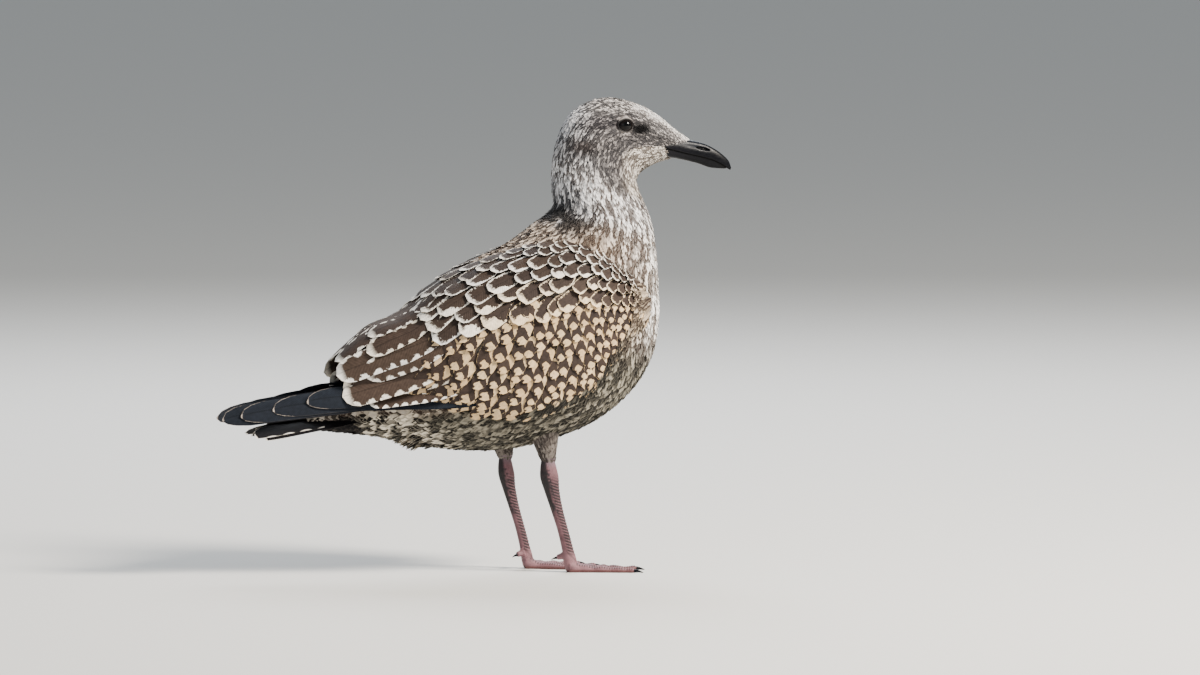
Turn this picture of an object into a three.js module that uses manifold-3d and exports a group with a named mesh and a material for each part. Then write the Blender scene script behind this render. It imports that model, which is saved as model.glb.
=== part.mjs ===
// A young herring gull standing on both webbed feet, life size, in millimetres.
// +X points where the bill points, +Y to the bird's left, +Z up. The soles are at z = 0,
// and the origin is on the floor under the middle of the whole bird.
import * as THREE from "three";
import { ParametricGeometry } from "three/addons/geometries/ParametricGeometry.js";
import { mergeVertices } from "three/addons/utils/BufferGeometryUtils.js";
import Module from "manifold-3d";

const wasm = await Module();
wasm.setup();

// ---- driving dimensions ----
const seam = 0.3; // gap between touching pieces
const seamShare = 0.022; // the same gap as a share of a station, where the rings lie closest
const around = 20; // facets round the body

// Stations of the feathered body, from the bill's base over the head and neck to the tail's base.
// Each is a tilted oval: its dorsal and ventral points in the plane of symmetry (x, z), its half width,
// and how high its widest point lies between them, from 0 at the ventral point to 1 at the dorsal one.
const bodyStations = [
  { name: "bill base", dorsal: [196, 386.5], ventral: [181, 369.7], halfWidth: 6.5, widest: 0.5 },
  { name: "lores", dorsal: [182.5, 395], ventral: [169, 366.8], halfWidth: 12, widest: 0.48 },
  { name: "forehead", dorsal: [167.5, 406.5], ventral: [158, 362], halfWidth: 17.5, widest: 0.48 },
  { name: "eye", dorsal: [149, 417.5], ventral: [150.2, 356.5], halfWidth: 21.5, widest: 0.5 },
  { name: "crown", dorsal: [125, 425], ventral: [147.2, 351.5], halfWidth: 24.5, widest: 0.5 },
  { name: "hind crown", dorsal: [104, 421.5], ventral: [147, 347.5], halfWidth: 26, widest: 0.48 },
  { name: "nape", dorsal: [86, 409], ventral: [148.5, 343], halfWidth: 27, widest: 0.48 },
  { name: "hind neck", dorsal: [75.5, 388], ventral: [151.5, 336.5], halfWidth: 28, widest: 0.5 },
  { name: "upper neck", dorsal: [71, 366], ventral: [155, 328.5], halfWidth: 29.5, widest: 0.5 },
  { name: "middle neck", dorsal: [70.8, 345], ventral: [159, 319], halfWidth: 32.5, widest: 0.5 },
  { name: "neck base", dorsal: [71.5, 327], ventral: [162.5, 305], halfWidth: 38.5, widest: 0.5 },
  { name: "mantle", dorsal: [55, 313], ventral: [165, 281], halfWidth: 49, widest: 0.5 },
  { name: "shoulder", dorsal: [28, 294], ventral: [166.5, 252], halfWidth: 58, widest: 0.5 },
  { name: "upper breast", dorsal: [1, 281], ventral: [166.5, 224], halfWidth: 65, widest: 0.5 },
  { name: "breast", dorsal: [-22, 264], ventral: [160.5, 193], halfWidth: 68.5, widest: 0.48 },
  { name: "fore belly", dorsal: [-42, 243], ventral: [141, 161.5], halfWidth: 67.5, widest: 0.46 },
  { name: "belly", dorsal: [-58, 221], ventral: [107, 135], halfWidth: 63.5, widest: 0.44 },
  { name: "flank", dorsal: [-71, 202], ventral: [64, 118.8], halfWidth: 56, widest: 0.44 },
  { name: "hind flank", dorsal: [-84, 187], ventral: [20, 111], halfWidth: 48, widest: 0.45 },
  { name: "vent", dorsal: [-97, 176], ventral: [-26, 112.5], halfWidth: 38, widest: 0.46 },
  { name: "rump", dorsal: [-110, 166], ventral: [-72, 118.5], halfWidth: 27, widest: 0.48 },
  { name: "tail coverts", dorsal: [-128, 156], ventral: [-104, 129], halfWidth: 19, widest: 0.5 },
  { name: "coverts tip", dorsal: [-152, 147], ventral: [-146, 131.5], halfWidth: 12, widest: 0.5 },
];
const neckFrom = 8.4; // station where the head meets the neck
const trunkFrom = 10.7; // station where the neck meets the trunk
const abdomenFrom = 14.8; // station behind which there is less flesh under the feathers

// Stations of the right folded wing with its scapulars, front to back. Each is an arc through three
// points (x, outward distance, z): its upper edge, its widest point and its lower edge.
const wingStations = [
  { name: "bend", top: [128, 44, 276], side: [141, 51, 240], foot: [127, 47, 204] },
  { name: "fore arm", top: [99, 46, 293], side: [111, 66, 240], foot: [99, 61, 176] },
  { name: "elbow", top: [65, 35, 300.5], side: [75, 75, 231], foot: [62, 69, 157] },
  { name: "mid arm", top: [30, 17, 293], side: [37, 78, 221], foot: [28, 71, 149] },
  { name: "hind arm", top: [-3, 7, 281], side: [0, 76, 211], foot: [-3, 67, 149] },
  { name: "scapular tips", top: [-37, 3, 263], side: [-34, 69, 201], foot: [-34, 59, 154] },
  { name: "tertial base", top: [-69, 2, 236.5], side: [-66, 56, 194], foot: [-65, 46, 159] },
  { name: "tertials", top: [-99, 1.8, 224], side: [-96, 43, 187], foot: [-94, 33, 159] },
  { name: "tertial tips", top: [-131, 1.5, 197], side: [-131, 28, 180], foot: [-128, 19, 160] },
  { name: "run out", top: [-152, 1.5, 172], side: [-158, 15, 165], foot: [-156, 8, 158] },
];
const armEnd = 6.3; // station where the covered arm ends and the bare tertials go on
const wingThickness = { front: 8, middle: 17, back: 5, edge: 1.2 };
const wingReach = 12; // how far outside the wing its cutter goes

const tertials = {
  tipStations: [7.7, 8.12, 8.05, 7.8],
  firstMiddle: 0.16, // how far down the wing the top feather's middle lies, from 0 to 1
  middleStep: 0.22,
  halfWidth: 0.14,
  thickness: 1.6,
  depth: 1, // of the top feather under the wing's surface
  stack: 0.4, // how much deeper each next feather lies
};

const primaries = {
  tips: [-237, -221, -193, -163], // x of each exposed tip, longest first
  tipHeight: [144.5, 146.5, 151, 157.5],
  root: [-78, -38, 164],
  tipOut: 10,
  halfWidth: 13,
  thickness: 1.2,
  stack: 0.8, // how far each shorter feather lies outside the next
  lean: 0.95, // how far the vanes turn from flat towards upright, in radians
};

const tail = {
  feathers: 6,
  root: [-92, 148],
  tipX: -212,
  tipHeight: 139.5,
  rootHalf: 14,
  tipHalf: 27,
  droop: 0.42, // how far the outer tips hang below the middle ones, as a share of their distance out
  rounding: 0.05, // how much shorter the outer feathers are
  scallop: 4,
  thickness: 2.4,
};

// Lines of the bill (x, z) from inside the head to its tip, with its half width beside them. The lower
// half, between mouthUnder and lower, ends a little behind the hooked upper one.
const bill = {
  culmen: [
    [172, 386.5], [184, 388], [197, 386.4], [211.4, 382.7],
    [221.4, 377.8], [228.5, 372.8], [234.3, 367.2], [237, 360.8],
  ],
  mouth: [
    [172, 380], [182, 377.4], [195, 374], [208, 371],
    [220, 367.6], [229, 363], [234.2, 359.6], [236, 358.6],
  ],
  mouthUnder: [
    [172, 379.6], [182, 376.9], [195, 373.5], [208, 370.4],
    [218, 367.6], [225, 364.4], [230, 361.7], [232.4, 360.5],
  ],
  lower: [
    [172, 371], [183, 369.8], [195, 367.4], [206, 364.6],
    [215.7, 361.2], [223, 360.2], [229.5, 359.8], [232, 359.9],
  ],
  halfWidths: [7, 6.6, 5.9, 5.1, 4.3, 3.3, 1.9, 0.7],
  lowerShare: 0.88, // of the half width, in the lower half
};

const eye = { centre: [132.5, 16.4, 401], radius: 7.4 };

const leg = {
  standHalfWidth: 23, // from the plane of symmetry to each leg
  stride: 28, // how far the left leg stands behind the right
  leftGirth: 0.88,
  // x forward of the ankle, height, half depth fore and aft, half width across
  stations: [
    { name: "in the thigh", x: -1, z: 128, deep: 5.6, wide: 5.2 },
    { name: "bare tibia", x: -1, z: 104, deep: 5, wide: 4.4 },
    { name: "above the ankle", x: -0.5, z: 94, deep: 7, wide: 5.6 },
    { name: "ankle", x: 0.6, z: 85, deep: 7.9, wide: 6.4 },
    { name: "below the ankle", x: 3, z: 73, deep: 6.2, wide: 5 },
    { name: "shank", x: 7.6, z: 56, deep: 5, wide: 3.9 },
    { name: "lower shank", x: 13, z: 38, deep: 4.7, wide: 3.6 },
    { name: "above the foot", x: 17.6, z: 20, deep: 5.4, wide: 4.4 },
    { name: "foot joint", x: 19.5, z: 9, deep: 6.2, wide: 5.6 },
    { name: "heel pad", x: 20, z: -1, deep: 5.8, wide: 5.4 },
  ],
  footTop: 18, // height of the joint between shank and foot
  stubFrom: 6.6, // station inside the shank where the foot's own stub starts
  shankTo: 8.6, // station inside the foot where the shank's tube ends
};
const ankleX = 61; // of the right leg

const thigh = { top: 156, bottom: 104, topX: 52, topHalf: [24, 17], bottomHalf: [6, 5.4], taper: 0.5 };

const toeRadius = { root: 4.2, tip: 2.2, knuckle: 0.35 };
const toes = [
  { name: "inner", length: 47, turn: 0.56, joints: 2 },
  { name: "middle", length: 63, turn: 0.08, joints: 3 },
  { name: "outer", length: 58, turn: -0.36, joints: 4 },
];
const web = { thickness: 1.1, reach: 0.93, hollow: 0.2 };
const hallux = { length: 7, shrink: 0.6, turn: [0, 8, 160], place: [-4, 3, 12.5] };
const claw = { length: 8, radius: 1.7, hindLength: 5, hindRadius: 1.3 };

// ---- materials ----
const finish = (color, roughness) => new THREE.MeshStandardMaterial({ color, roughness, metalness: 0 });
const plumage = finish(0x9a8a7c, 0.9);
const headPlumage = finish(0xb0a8a3, 0.9);
const wingPlumage = finish(0x8a7766, 0.85);
const darkFeather = finish(0x2b2524, 0.7);
const horn = finish(0x24262b, 0.4);
const eyeShine = finish(0x14100f, 0.1);
const legSkin = finish(0xb5878a, 0.6);

// ---- solids and shapes ----
const group = new THREE.Group();

// A three.js geometry as a solid, with its faces turned outwards.
function solidOf(geometry) {
  const bare = new THREE.BufferGeometry().setAttribute("position", geometry.getAttribute("position"));
  bare.setIndex(geometry.index);
  const merged = mergeVertices(bare, 1e-3);
  const corners = [...merged.index.array];
  const triangles = [];
  for (let i = 0; i < corners.length; i += 3) {
    const [a, b, c] = corners.slice(i, i + 3);
    if (a !== b && b !== c && c !== a) triangles.push([a, b, c]);
  }
  const make = (list) =>
    new wasm.Manifold(
      new wasm.Mesh({
        numProp: 3,
        vertProperties: new Float32Array(merged.attributes.position.array),
        triVerts: new Uint32Array(list.flat()),
      }),
    );
  const solid = make(triangles);
  return solid.volume() > 0 ? solid : make(triangles.map(([a, b, c]) => [a, c, b]));
}

function add(name, solid, material) {
  const found = solid.getMesh();
  const geometry = new THREE.BufferGeometry();
  geometry.setAttribute("position", new THREE.BufferAttribute(new Float32Array(found.vertProperties), 3));
  geometry.setIndex(new THREE.BufferAttribute(new Uint32Array(found.triVerts), 1));
  geometry.computeVertexNormals();
  const mesh = new THREE.Mesh(geometry, material);
  mesh.name = name;
  group.add(mesh);
}

// A closed body swept from ring to ring. ringPoint(turn, along) takes both from 0 to 1 and returns a
// Vector3. A round section is capped by its centre; a folded one, whose second half lies under its
// first, is capped by the line between its two faces.
function sweep(ringPoint, facets, steps, folded = false) {
  const stacks = steps + 2;
  const ring = (along) => Array.from({ length: facets }, (_, i) => ringPoint(i / facets, along));
  const capOf = (points) => {
    const centre = points.reduce((sum, point) => sum.clone().add(point)).divideScalar(facets);
    const opposite = (i) => points[facets - 1 - i];
    return points.map((point, i) => (folded ? point.clone().add(opposite(i)).divideScalar(2) : centre));
  };
  const caps = [capOf(ring(0)), capOf(ring(1))];
  const surface = (turn, v, target) => {
    const row = Math.round(v * stacks);
    const column = Math.round(turn * facets) % facets;
    if (row === 0) return target.copy(caps[0][column]);
    if (row === stacks) return target.copy(caps[1][column]);
    return target.copy(ringPoint(column / facets, (row - 1) / steps));
  };
  return solidOf(new ParametricGeometry(surface, facets, stacks));
}

// A smooth curve through a station's numbers, read by station number.
function through(rows) {
  const curve = new THREE.CatmullRomCurve3(
    rows.map((r) => new THREE.Vector3(r[0], r[1], r[2] ?? 0)),
    false,
    "catmullrom",
    0.5,
  );
  return (station) => curve.getPoint(THREE.MathUtils.clamp(station / (rows.length - 1), 0, 1));
}

// A solid with its copies moved a little each way, which cuts the room it needs in a neighbour.
function clearance(solid) {
  const moves = [-1.5 * seam, 1.5 * seam].flatMap((d) => [[d, 0, 0], [0, d, 0], [0, 0, d]]);
  return joinAll([solid, ...moves.map((move) => solid.translate(move))]);
}

const mirrorY = new THREE.Matrix4().makeScale(1, -1, 1);
const mirrored = (solid) => solid.transform(mirrorY.toArray());

function box(low, high) {
  const size = high.map((h, i) => h - low[i]);
  const middle = high.map((h, i) => (h + low[i]) / 2);
  return solidOf(new THREE.BoxGeometry(...size).translate(...middle));
}

// ---- head, neck and trunk ----
const dorsal = through(bodyStations.map((s) => s.dorsal));
const ventral = through(bodyStations.map((s) => s.ventral));
const girth = through(bodyStations.map((s) => [s.halfWidth, s.widest]));

// A point of the body's surface: turn 0 is the right side, a quarter turn up the back, and so on round.
function bodyPoint(station, turn, grow) {
  const top = dorsal(station);
  const bottom = ventral(station);
  const { x: halfWidth, y: widest } = girth(station);
  const angle = turn * 2 * Math.PI;
  const height = widest + (Math.sin(angle) > 0 ? 1 - widest : widest) * Math.sin(angle);
  const outwards = top.clone().sub(bottom).normalize().multiplyScalar(grow * Math.sin(angle));
  const inPlane = bottom.clone().lerp(top, height).add(outwards);
  return new THREE.Vector3(inPlane.x, -(halfWidth + grow) * Math.cos(angle), inPlane.y);
}

function bodyLength(from, to, grow = 0) {
  const steps = Math.round((to - from) * (from < neckFrom ? 1.5 : 1));
  return sweep((turn, along) => bodyPoint(from + (to - from) * along, turn, grow), around, steps);
}

// ---- wings ----
const wingTop = through(wingStations.map((s) => s.top));
const wingSide = through(wingStations.map((s) => s.side));
const wingFoot = through(wingStations.map((s) => s.foot));

// A point of the right wing's outer surface. across runs from 0 at the upper edge to 1 at the lower,
// as a quarter ellipse down to the widest point and another one under it.
function wingPoint(station, across) {
  const side = wingSide(station);
  const upper = across < 0.5;
  const edge = upper ? wingTop(station) : wingFoot(station);
  const angle = Math.abs(across - 0.5) * Math.PI;
  const toEdge = Math.sin(angle);
  const out = edge.y + (side.y - edge.y) * Math.cos(angle);
  const x = side.x + (edge.x - side.x) * toEdge * toEdge;
  return new THREE.Vector3(x, -out, side.z + (edge.z - side.z) * toEdge);
}

function wingNormal(station, across) {
  const small = 0.02;
  const alongWing = wingPoint(station + small, across).sub(wingPoint(station - small, across));
  const inset = THREE.MathUtils.clamp(across, small, 1 - small);
  const downWing = wingPoint(station, inset + small).sub(wingPoint(station, inset - small));
  return alongWing.cross(downWing).normalize();
}

// The arm of the wing as a curved slab. As a cutter it is larger by grow and reaches outwards by swell.
function wingArm(grow, swell) {
  const half = 8; // facets across one face
  const steps = 12;
  const ends = grow ? [0, armEnd + 0.03] : [0.04, armEnd];
  const overhang = grow ? 0.015 : 0;
  const ringPoint = (turn, along) => {
    const station = along === 0 ? ends[0] : along === 1 ? ends[1] : armEnd * along;
    const place = Math.round(turn * 2 * (half + 1));
    const outer = place <= half;
    const row = outer ? place : 2 * half + 1 - place;
    const across = row / half + (row === half ? overhang : row === 0 ? -overhang : 0);
    const toEdge = Math.max(0, 6 * Math.min(across, 1 - across));
    const taper = Math.min(1, toEdge, 3 * along + 0.3, 4 * (1 - along) + 0.4);
    const end = along < 0.5 ? wingThickness.front : wingThickness.back;
    const full = THREE.MathUtils.lerp(wingThickness.middle, end, Math.abs(2 * along - 1));
    const thickness = wingThickness.edge + (full - wingThickness.edge) * taper;
    const move = outer ? swell : -thickness - grow;
    return wingPoint(station, across).addScaledVector(wingNormal(station, across), move);
  };
  return sweep(ringPoint, 2 * (half + 1), steps, true);
}

// A flight feather: a flat vane from its root to its rounded tip.
// pointAt(along, across, lift) gives a place on the surface that it lies in.
const vaneCorners = [[1, 1], [-1, 1], [-1, -1], [1, -1]];
function vane(pointAt, thickness, tipShare) {
  const steps = [0, 0.4, 1 - tipShare, 1 - 0.5 * tipShare, 1 - 0.17 * tipShare, 1];
  const ringPoint = (turn, position) => {
    const along = steps[Math.round(position * (steps.length - 1))];
    const [side, face] = vaneCorners[Math.round(turn * 4) % 4];
    const past = Math.max(0, (along - 1 + tipShare) / tipShare);
    const rounding = Math.sqrt(Math.max(0.04, 1 - past * past));
    const width = (0.6 + 0.4 * Math.min(1, along * 3)) * rounding;
    return pointAt(along, side * width, (face * thickness) / 2);
  };
  return sweep(ringPoint, 4, steps.length - 1);
}

function joinAll(solids) {
  return solids.reduce((all, one) => all.add(one));
}

function wingTertials() {
  const { tipStations, firstMiddle, middleStep, halfWidth, thickness, depth, stack } = tertials;
  return joinAll(
    tipStations.map((tipStation, i) => {
      const middle = firstMiddle + middleStep * i;
      return vane(
        (along, across, lift) => {
          const station = THREE.MathUtils.lerp(armEnd + 2 * seamShare, tipStation, along);
          const place = THREE.MathUtils.clamp(middle + halfWidth * across, 0.015, 0.985);
          const move = lift - depth - stack * i;
          return wingPoint(station, place).addScaledVector(wingNormal(station, place), move);
        },
        thickness,
        0.3,
      );
    }),
  );
}

function wingPrimaries() {
  const { tips, tipHeight, root, tipOut, halfWidth, thickness, stack, lean } = primaries;
  const acrossWay = new THREE.Vector3(0, -Math.cos(lean), -Math.sin(lean));
  const liftWay = new THREE.Vector3(0, -Math.sin(lean), Math.cos(lean));
  return joinAll(
    tips.map((tipX, i) => {
      const from = new THREE.Vector3(...root);
      const tip = new THREE.Vector3(tipX, -tipOut, tipHeight[i]);
      return vane(
        (along, across, lift) =>
          from
            .clone()
            .lerp(tip, along)
            .addScaledVector(acrossWay, across * halfWidth * (1 - 0.3 * along))
            .addScaledVector(liftWay, lift + stack * i),
        thickness,
        0.16,
      );
    }),
  );
}

// The folded tail, a shallow roof of feathers whose rounded tips scallop its end.
function tailFan() {
  const { feathers, root, tipX, tipHeight, rootHalf, tipHalf, droop, rounding, scallop, thickness } = tail;
  const half = 2 * feathers; // facets across one face
  const ringPoint = (turn, along) => {
    const place = Math.round(turn * 2 * (half + 1));
    const upper = place <= half;
    const side = ((upper ? place : 2 * half + 1 - place) * 2) / half - 1; // -1 on the right, 1 on the left
    const betweenTips = 1 - Math.abs(Math.sin((Math.PI * feathers * (side + 1)) / 2));
    const length = (root[0] - tipX) * (1 - rounding * Math.abs(side)) - scallop * betweenTips;
    const y = side * THREE.MathUtils.lerp(rootHalf, tipHalf, along);
    const z = THREE.MathUtils.lerp(root[1], tipHeight, along) - droop * Math.abs(y) * along;
    return new THREE.Vector3(root[0] - length * along, y, z + (upper ? thickness / 2 : -thickness / 2));
  };
  return sweep(ringPoint, 2 * (half + 1), 3, true);
}

// ---- bill and eyes ----
// One half of the bill between two of its lines, an upright oval at each station.
function billHalf(upperLine, lowerLine, widthShare) {
  const top = through(upperLine);
  const bottom = through(lowerLine);
  const width = through(bill.halfWidths.map((half) => [half * widthShare, 0]));
  return (grow) =>
    sweep(
      (turn, along) => {
        const station = along * (upperLine.length - 1);
        const angle = turn * 2 * Math.PI;
        const lift = 0.5 + 0.5 * Math.sin(angle);
        const middle = bottom(station).lerp(top(station), lift);
        const halfWidth = width(station).x + grow;
        return new THREE.Vector3(middle.x, -halfWidth * Math.cos(angle), middle.y + grow * Math.sin(angle));
      },
      10,
      9,
    );
}

// ---- legs and feet ----
const legLine = through(leg.stations.map((s) => [s.x, 0, s.z]));
const legGirth = through(leg.stations.map((s) => [s.deep, s.wide]));

function legTube(from, to, steps, grow = 0, girthShare = 1) {
  return sweep(
    (turn, along) => {
      const station = from + (to - from) * along;
      const angle = turn * 2 * Math.PI;
      const { x: deep, y: wide } = legGirth(station);
      return legLine(station).add(
        new THREE.Vector3(
          (deep * girthShare + grow) * Math.cos(angle),
          (wide * girthShare + grow) * Math.sin(angle),
          0,
        ),
      );
    },
    10,
    steps,
  );
}

function thighCone(grow) {
  return sweep(
    (turn, along) => {
      const angle = turn * 2 * Math.PI;
      const share = along ** thigh.taper;
      const x = THREE.MathUtils.lerp(thigh.topX - ankleX, leg.stations[1].x, along);
      const z = THREE.MathUtils.lerp(thigh.top, thigh.bottom, along);
      const deep = THREE.MathUtils.lerp(thigh.topHalf[0], thigh.bottomHalf[0], share) + grow;
      const wide = THREE.MathUtils.lerp(thigh.topHalf[1], thigh.bottomHalf[1], share) + grow;
      return new THREE.Vector3(x + deep * Math.cos(angle), wide * Math.sin(angle), z);
    },
    14,
    5,
  );
}

// A tapering tube along a line from start in the direction turn, knuckled, and as high as its radius.
function toeTube(length, joints) {
  return sweep(
    (turn, along) => {
      const angle = turn * 2 * Math.PI;
      const knuckle = toeRadius.knuckle * Math.cos(2 * Math.PI * joints * along);
      const radius = THREE.MathUtils.lerp(toeRadius.root, toeRadius.tip, along) + knuckle;
      return new THREE.Vector3(along * length, radius * Math.cos(angle), radius * (0.72 + Math.sin(angle)));
    },
    8,
    joints + 2,
  );
}

function clawHorn(length, radius) {
  return sweep(
    (turn, along) => {
      const angle = turn * 2 * Math.PI;
      const r = radius * (1 - 0.8 * along);
      const drop = 0.22 * length * along ** 2;
      return new THREE.Vector3(
        along * length,
        0.7 * r * Math.cos(angle),
        Math.max(0, radius * 1.05 - drop + r * Math.sin(angle)),
      );
    },
    6,
    3,
  );
}

function toeEnd(toe, share) {
  return new THREE.Vector2(Math.cos(toe.turn), Math.sin(toe.turn)).multiplyScalar(toe.length * share);
}

function webBetween(a, b) {
  const start = toeEnd(a, web.reach);
  const end = toeEnd(b, web.reach);
  const middle = start.clone().add(end).multiplyScalar(0.5 * (1 - web.hollow));
  const outline = new THREE.Shape();
  outline.moveTo(-2, 0);
  outline.lineTo(start.x, start.y);
  outline.quadraticCurveTo(middle.x, middle.y, end.x, end.y);
  outline.closePath();
  return solidOf(
    new THREE.ExtrudeGeometry(outline, { depth: web.thickness, bevelEnabled: false, curveSegments: 6 }),
  );
}

// The right foot and its claws, with the foot joint over the origin.
const heel = legLine(leg.stations.length - 2);
function footParts(girthShare) {
  const turned = (solid, toe) => solid.rotate([0, 0, THREE.MathUtils.radToDeg(toe.turn)]);
  const bodies = toes.map((toe) => turned(toeTube(toe.length, toe.joints), toe));
  bodies.push(webBetween(toes[1], toes[0]), webBetween(toes[2], toes[1]));
  const stub = legTube(leg.stubFrom, leg.stations.length - 1, 4, 0, girthShare).translate([-heel.x, 0, 0]);
  const above = box([-40, -40, leg.footTop - seam], [40, 40, 60]);
  bodies.push(stub.subtract(above));
  const hind = toeTube(hallux.length, 1).scale([1, hallux.shrink, hallux.shrink]).rotate(hallux.turn);
  bodies.push(hind.translate(hallux.place));
  const sole = box([-90, -90, -20], [90, 90, 0]);
  const claws = toes.map((toe) => [
    toe.name,
    turned(clawHorn(claw.length, claw.radius).translate([toe.length + seam, 0, 0]), toe),
  ]);
  const hindClaw = clawHorn(claw.hindLength, claw.hindRadius)
    .translate([hallux.length + seam, 0, -0.3])
    .rotate(hallux.turn)
    .translate(hallux.place);
  claws.push(["hind", hindClaw]);
  return { foot: joinAll(bodies).subtract(sole), claws };
}

// ---- the bird, put together ----
const beak = {
  upper: billHalf(bill.culmen, bill.mouth, 1),
  lower: billHalf(bill.mouthUnder, bill.lower, bill.lowerShare),
};
const eyeball = (grow) =>
  solidOf(
    new THREE.SphereGeometry(eye.radius + grow, 14, 9)
      .rotateX(Math.PI / 2)
      .translate(eye.centre[0], -eye.centre[1], eye.centre[2]),
  );

const last = bodyStations.length - 1;
const head = joinAll([bodyLength(0, neckFrom)])
  .subtract(beak.upper(seam))
  .subtract(beak.lower(seam))
  .subtract(eyeball(seam))
  .subtract(mirrored(eyeball(seam)));
const neck = bodyLength(neckFrom + 2 * seamShare, trunkFrom);

const legSides = [
  { side: "right", place: [ankleX, -leg.standHalfWidth, 0], flip: (s) => s, girthShare: 1 },
  {
    side: "left",
    place: [ankleX - leg.stride, leg.standHalfWidth, 0],
    flip: mirrored,
    girthShare: leg.leftGirth,
  },
];
const wingSides = [
  { side: "right", flip: (s) => s },
  { side: "left", flip: mirrored },
];

const hindCutter = bodyLength(abdomenFrom, last, 2 * seam);
const tailSolid = tailFan().subtract(hindCutter);
const wingPieces = { arm: wingArm(0, 0), tertials: wingTertials() };
const roomForTertials = clearance(wingPieces.tertials);
wingPieces.primaries = wingPrimaries().subtract(hindCutter).subtract(roomForTertials);
let trunk = bodyLength(trunkFrom + 2 * seamShare, abdomenFrom);
let abdomen = bodyLength(abdomenFrom + 2 * seamShare, last);
for (const { flip } of wingSides) {
  trunk = trunk.subtract(flip(wingArm(seam, wingReach)));
  abdomen = abdomen.subtract(flip(wingArm(seam, wingReach)));
}
for (const { place, flip } of legSides) {
  trunk = trunk.subtract(flip(thighCone(seam)).translate(place));
  abdomen = abdomen.subtract(flip(thighCone(seam)).translate(place));
}

add("head", head, headPlumage);
add("neck", neck, headPlumage);
add("trunk", trunk, plumage);
add("abdomen", abdomen, plumage);
add("tail", tailSolid, darkFeather);
add("bill_upper", beak.upper(0), horn);
add("bill_lower", beak.lower(0), horn);
for (const { side, flip } of wingSides) {
  add("eye_" + side, flip(eyeball(0)), eyeShine);
  add("wing_" + side, flip(wingPieces.arm), wingPlumage);
  add("tertials_" + side, flip(wingPieces.tertials), wingPlumage);
  add("primaries_" + side, flip(wingPieces.primaries), darkFeather);
}
for (const { side, place, flip, girthShare } of legSides) {
  const footSet = footParts(girthShare);
  const below = box([-60, -60, -10], [90, 60, leg.footTop]);
  const shank = legTube(0, leg.shankTo, 10, 0, girthShare).subtract(below);
  const thighSolid = thighCone(0).subtract(legTube(0, leg.shankTo, 10, seam, girthShare));
  add("thigh_" + side, flip(thighSolid).translate(place), plumage);
  add("shank_" + side, flip(shank).translate(place), legSkin);
  const footPlace = [place[0] + heel.x, place[1], 0];
  add("foot_" + side, flip(footSet.foot).translate(footPlace), legSkin);
  for (const [name, solid] of footSet.claws) {
    add(`claw_${name}_${side}`, flip(solid).translate(footPlace), horn);
  }
}

export default group;
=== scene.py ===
import math

import bpy
import numpy as np
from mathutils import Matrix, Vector
from mathutils.kdtree import KDTree


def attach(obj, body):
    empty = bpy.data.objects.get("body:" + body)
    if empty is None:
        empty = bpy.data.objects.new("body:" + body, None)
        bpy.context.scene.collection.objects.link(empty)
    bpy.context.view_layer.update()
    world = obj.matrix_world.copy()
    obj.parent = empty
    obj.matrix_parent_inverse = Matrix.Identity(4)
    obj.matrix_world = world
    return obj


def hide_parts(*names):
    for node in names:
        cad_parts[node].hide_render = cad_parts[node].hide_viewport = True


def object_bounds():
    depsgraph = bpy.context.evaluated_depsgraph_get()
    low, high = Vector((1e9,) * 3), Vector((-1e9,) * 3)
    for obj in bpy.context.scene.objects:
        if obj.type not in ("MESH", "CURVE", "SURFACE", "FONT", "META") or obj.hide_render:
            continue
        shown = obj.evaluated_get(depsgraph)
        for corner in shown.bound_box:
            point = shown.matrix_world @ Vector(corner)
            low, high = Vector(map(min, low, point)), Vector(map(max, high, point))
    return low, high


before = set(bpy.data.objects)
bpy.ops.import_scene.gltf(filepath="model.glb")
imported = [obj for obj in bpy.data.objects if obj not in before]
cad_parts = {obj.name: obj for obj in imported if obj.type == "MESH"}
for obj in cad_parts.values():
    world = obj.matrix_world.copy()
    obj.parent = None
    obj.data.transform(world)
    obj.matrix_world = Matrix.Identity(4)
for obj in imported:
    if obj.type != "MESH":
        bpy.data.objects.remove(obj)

# A young herring gull standing on both feet. Metres, +X the way the bill points, +Z up.
mm = 0.001
cadLow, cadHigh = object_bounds()


def linear(hexColour):
    # an sRGB hex value as linear red, green and blue: the sRGB curve undone
    c = np.array([int(hexColour[i:i + 2], 16) for i in (1, 3, 5)]) / 255
    return np.where(c <= 0.04045, c / 12.92, ((c + 0.055) / 1.055) ** 2.4)


def put(tree, kind, links=None, out=0, **settings):
    # adds a node, sets it up, links or fills its inputs, and returns one of its outputs
    made = tree.nodes.new("ShaderNode" + kind)
    for name, value in settings.items():
        setattr(made, name, value)
    for socket, source in (links or {}).items():
        if isinstance(source, bpy.types.NodeSocket):
            tree.links.new(source, made.inputs[socket])
        else:
            made.inputs[socket].default_value = source
    return made.outputs[out] if len(made.outputs) else made


def newMaterial(name):
    made = bpy.data.materials.new(name)
    made.use_nodes = True
    made.node_tree.nodes.clear()
    return made, made.node_tree


def clamped(x, low=0.0, high=1.0):
    return np.minimum(np.maximum(x, low), high)


def ease(x, low, high):
    # 0 under low, 1 over high, smooth between
    t = clamped((x - low) / (high - low))
    return t * t * (3 - 2 * t)


def blend(a, b, share):
    return a + (b - a) * share


def unit(vector):
    return vector / np.linalg.norm(vector, axis=-1, keepdims=True)


# ---- camera, floor and lights ----
shot = {
    "azimuth": -15.0, "elevation": 4.0, "distance": 10.0, "lens": 333.3,
    "aimBehindBill": 0.1224,  # from the bill's tip back to the middle of the frame
    "aimHeight": 0.2092,
}


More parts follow.
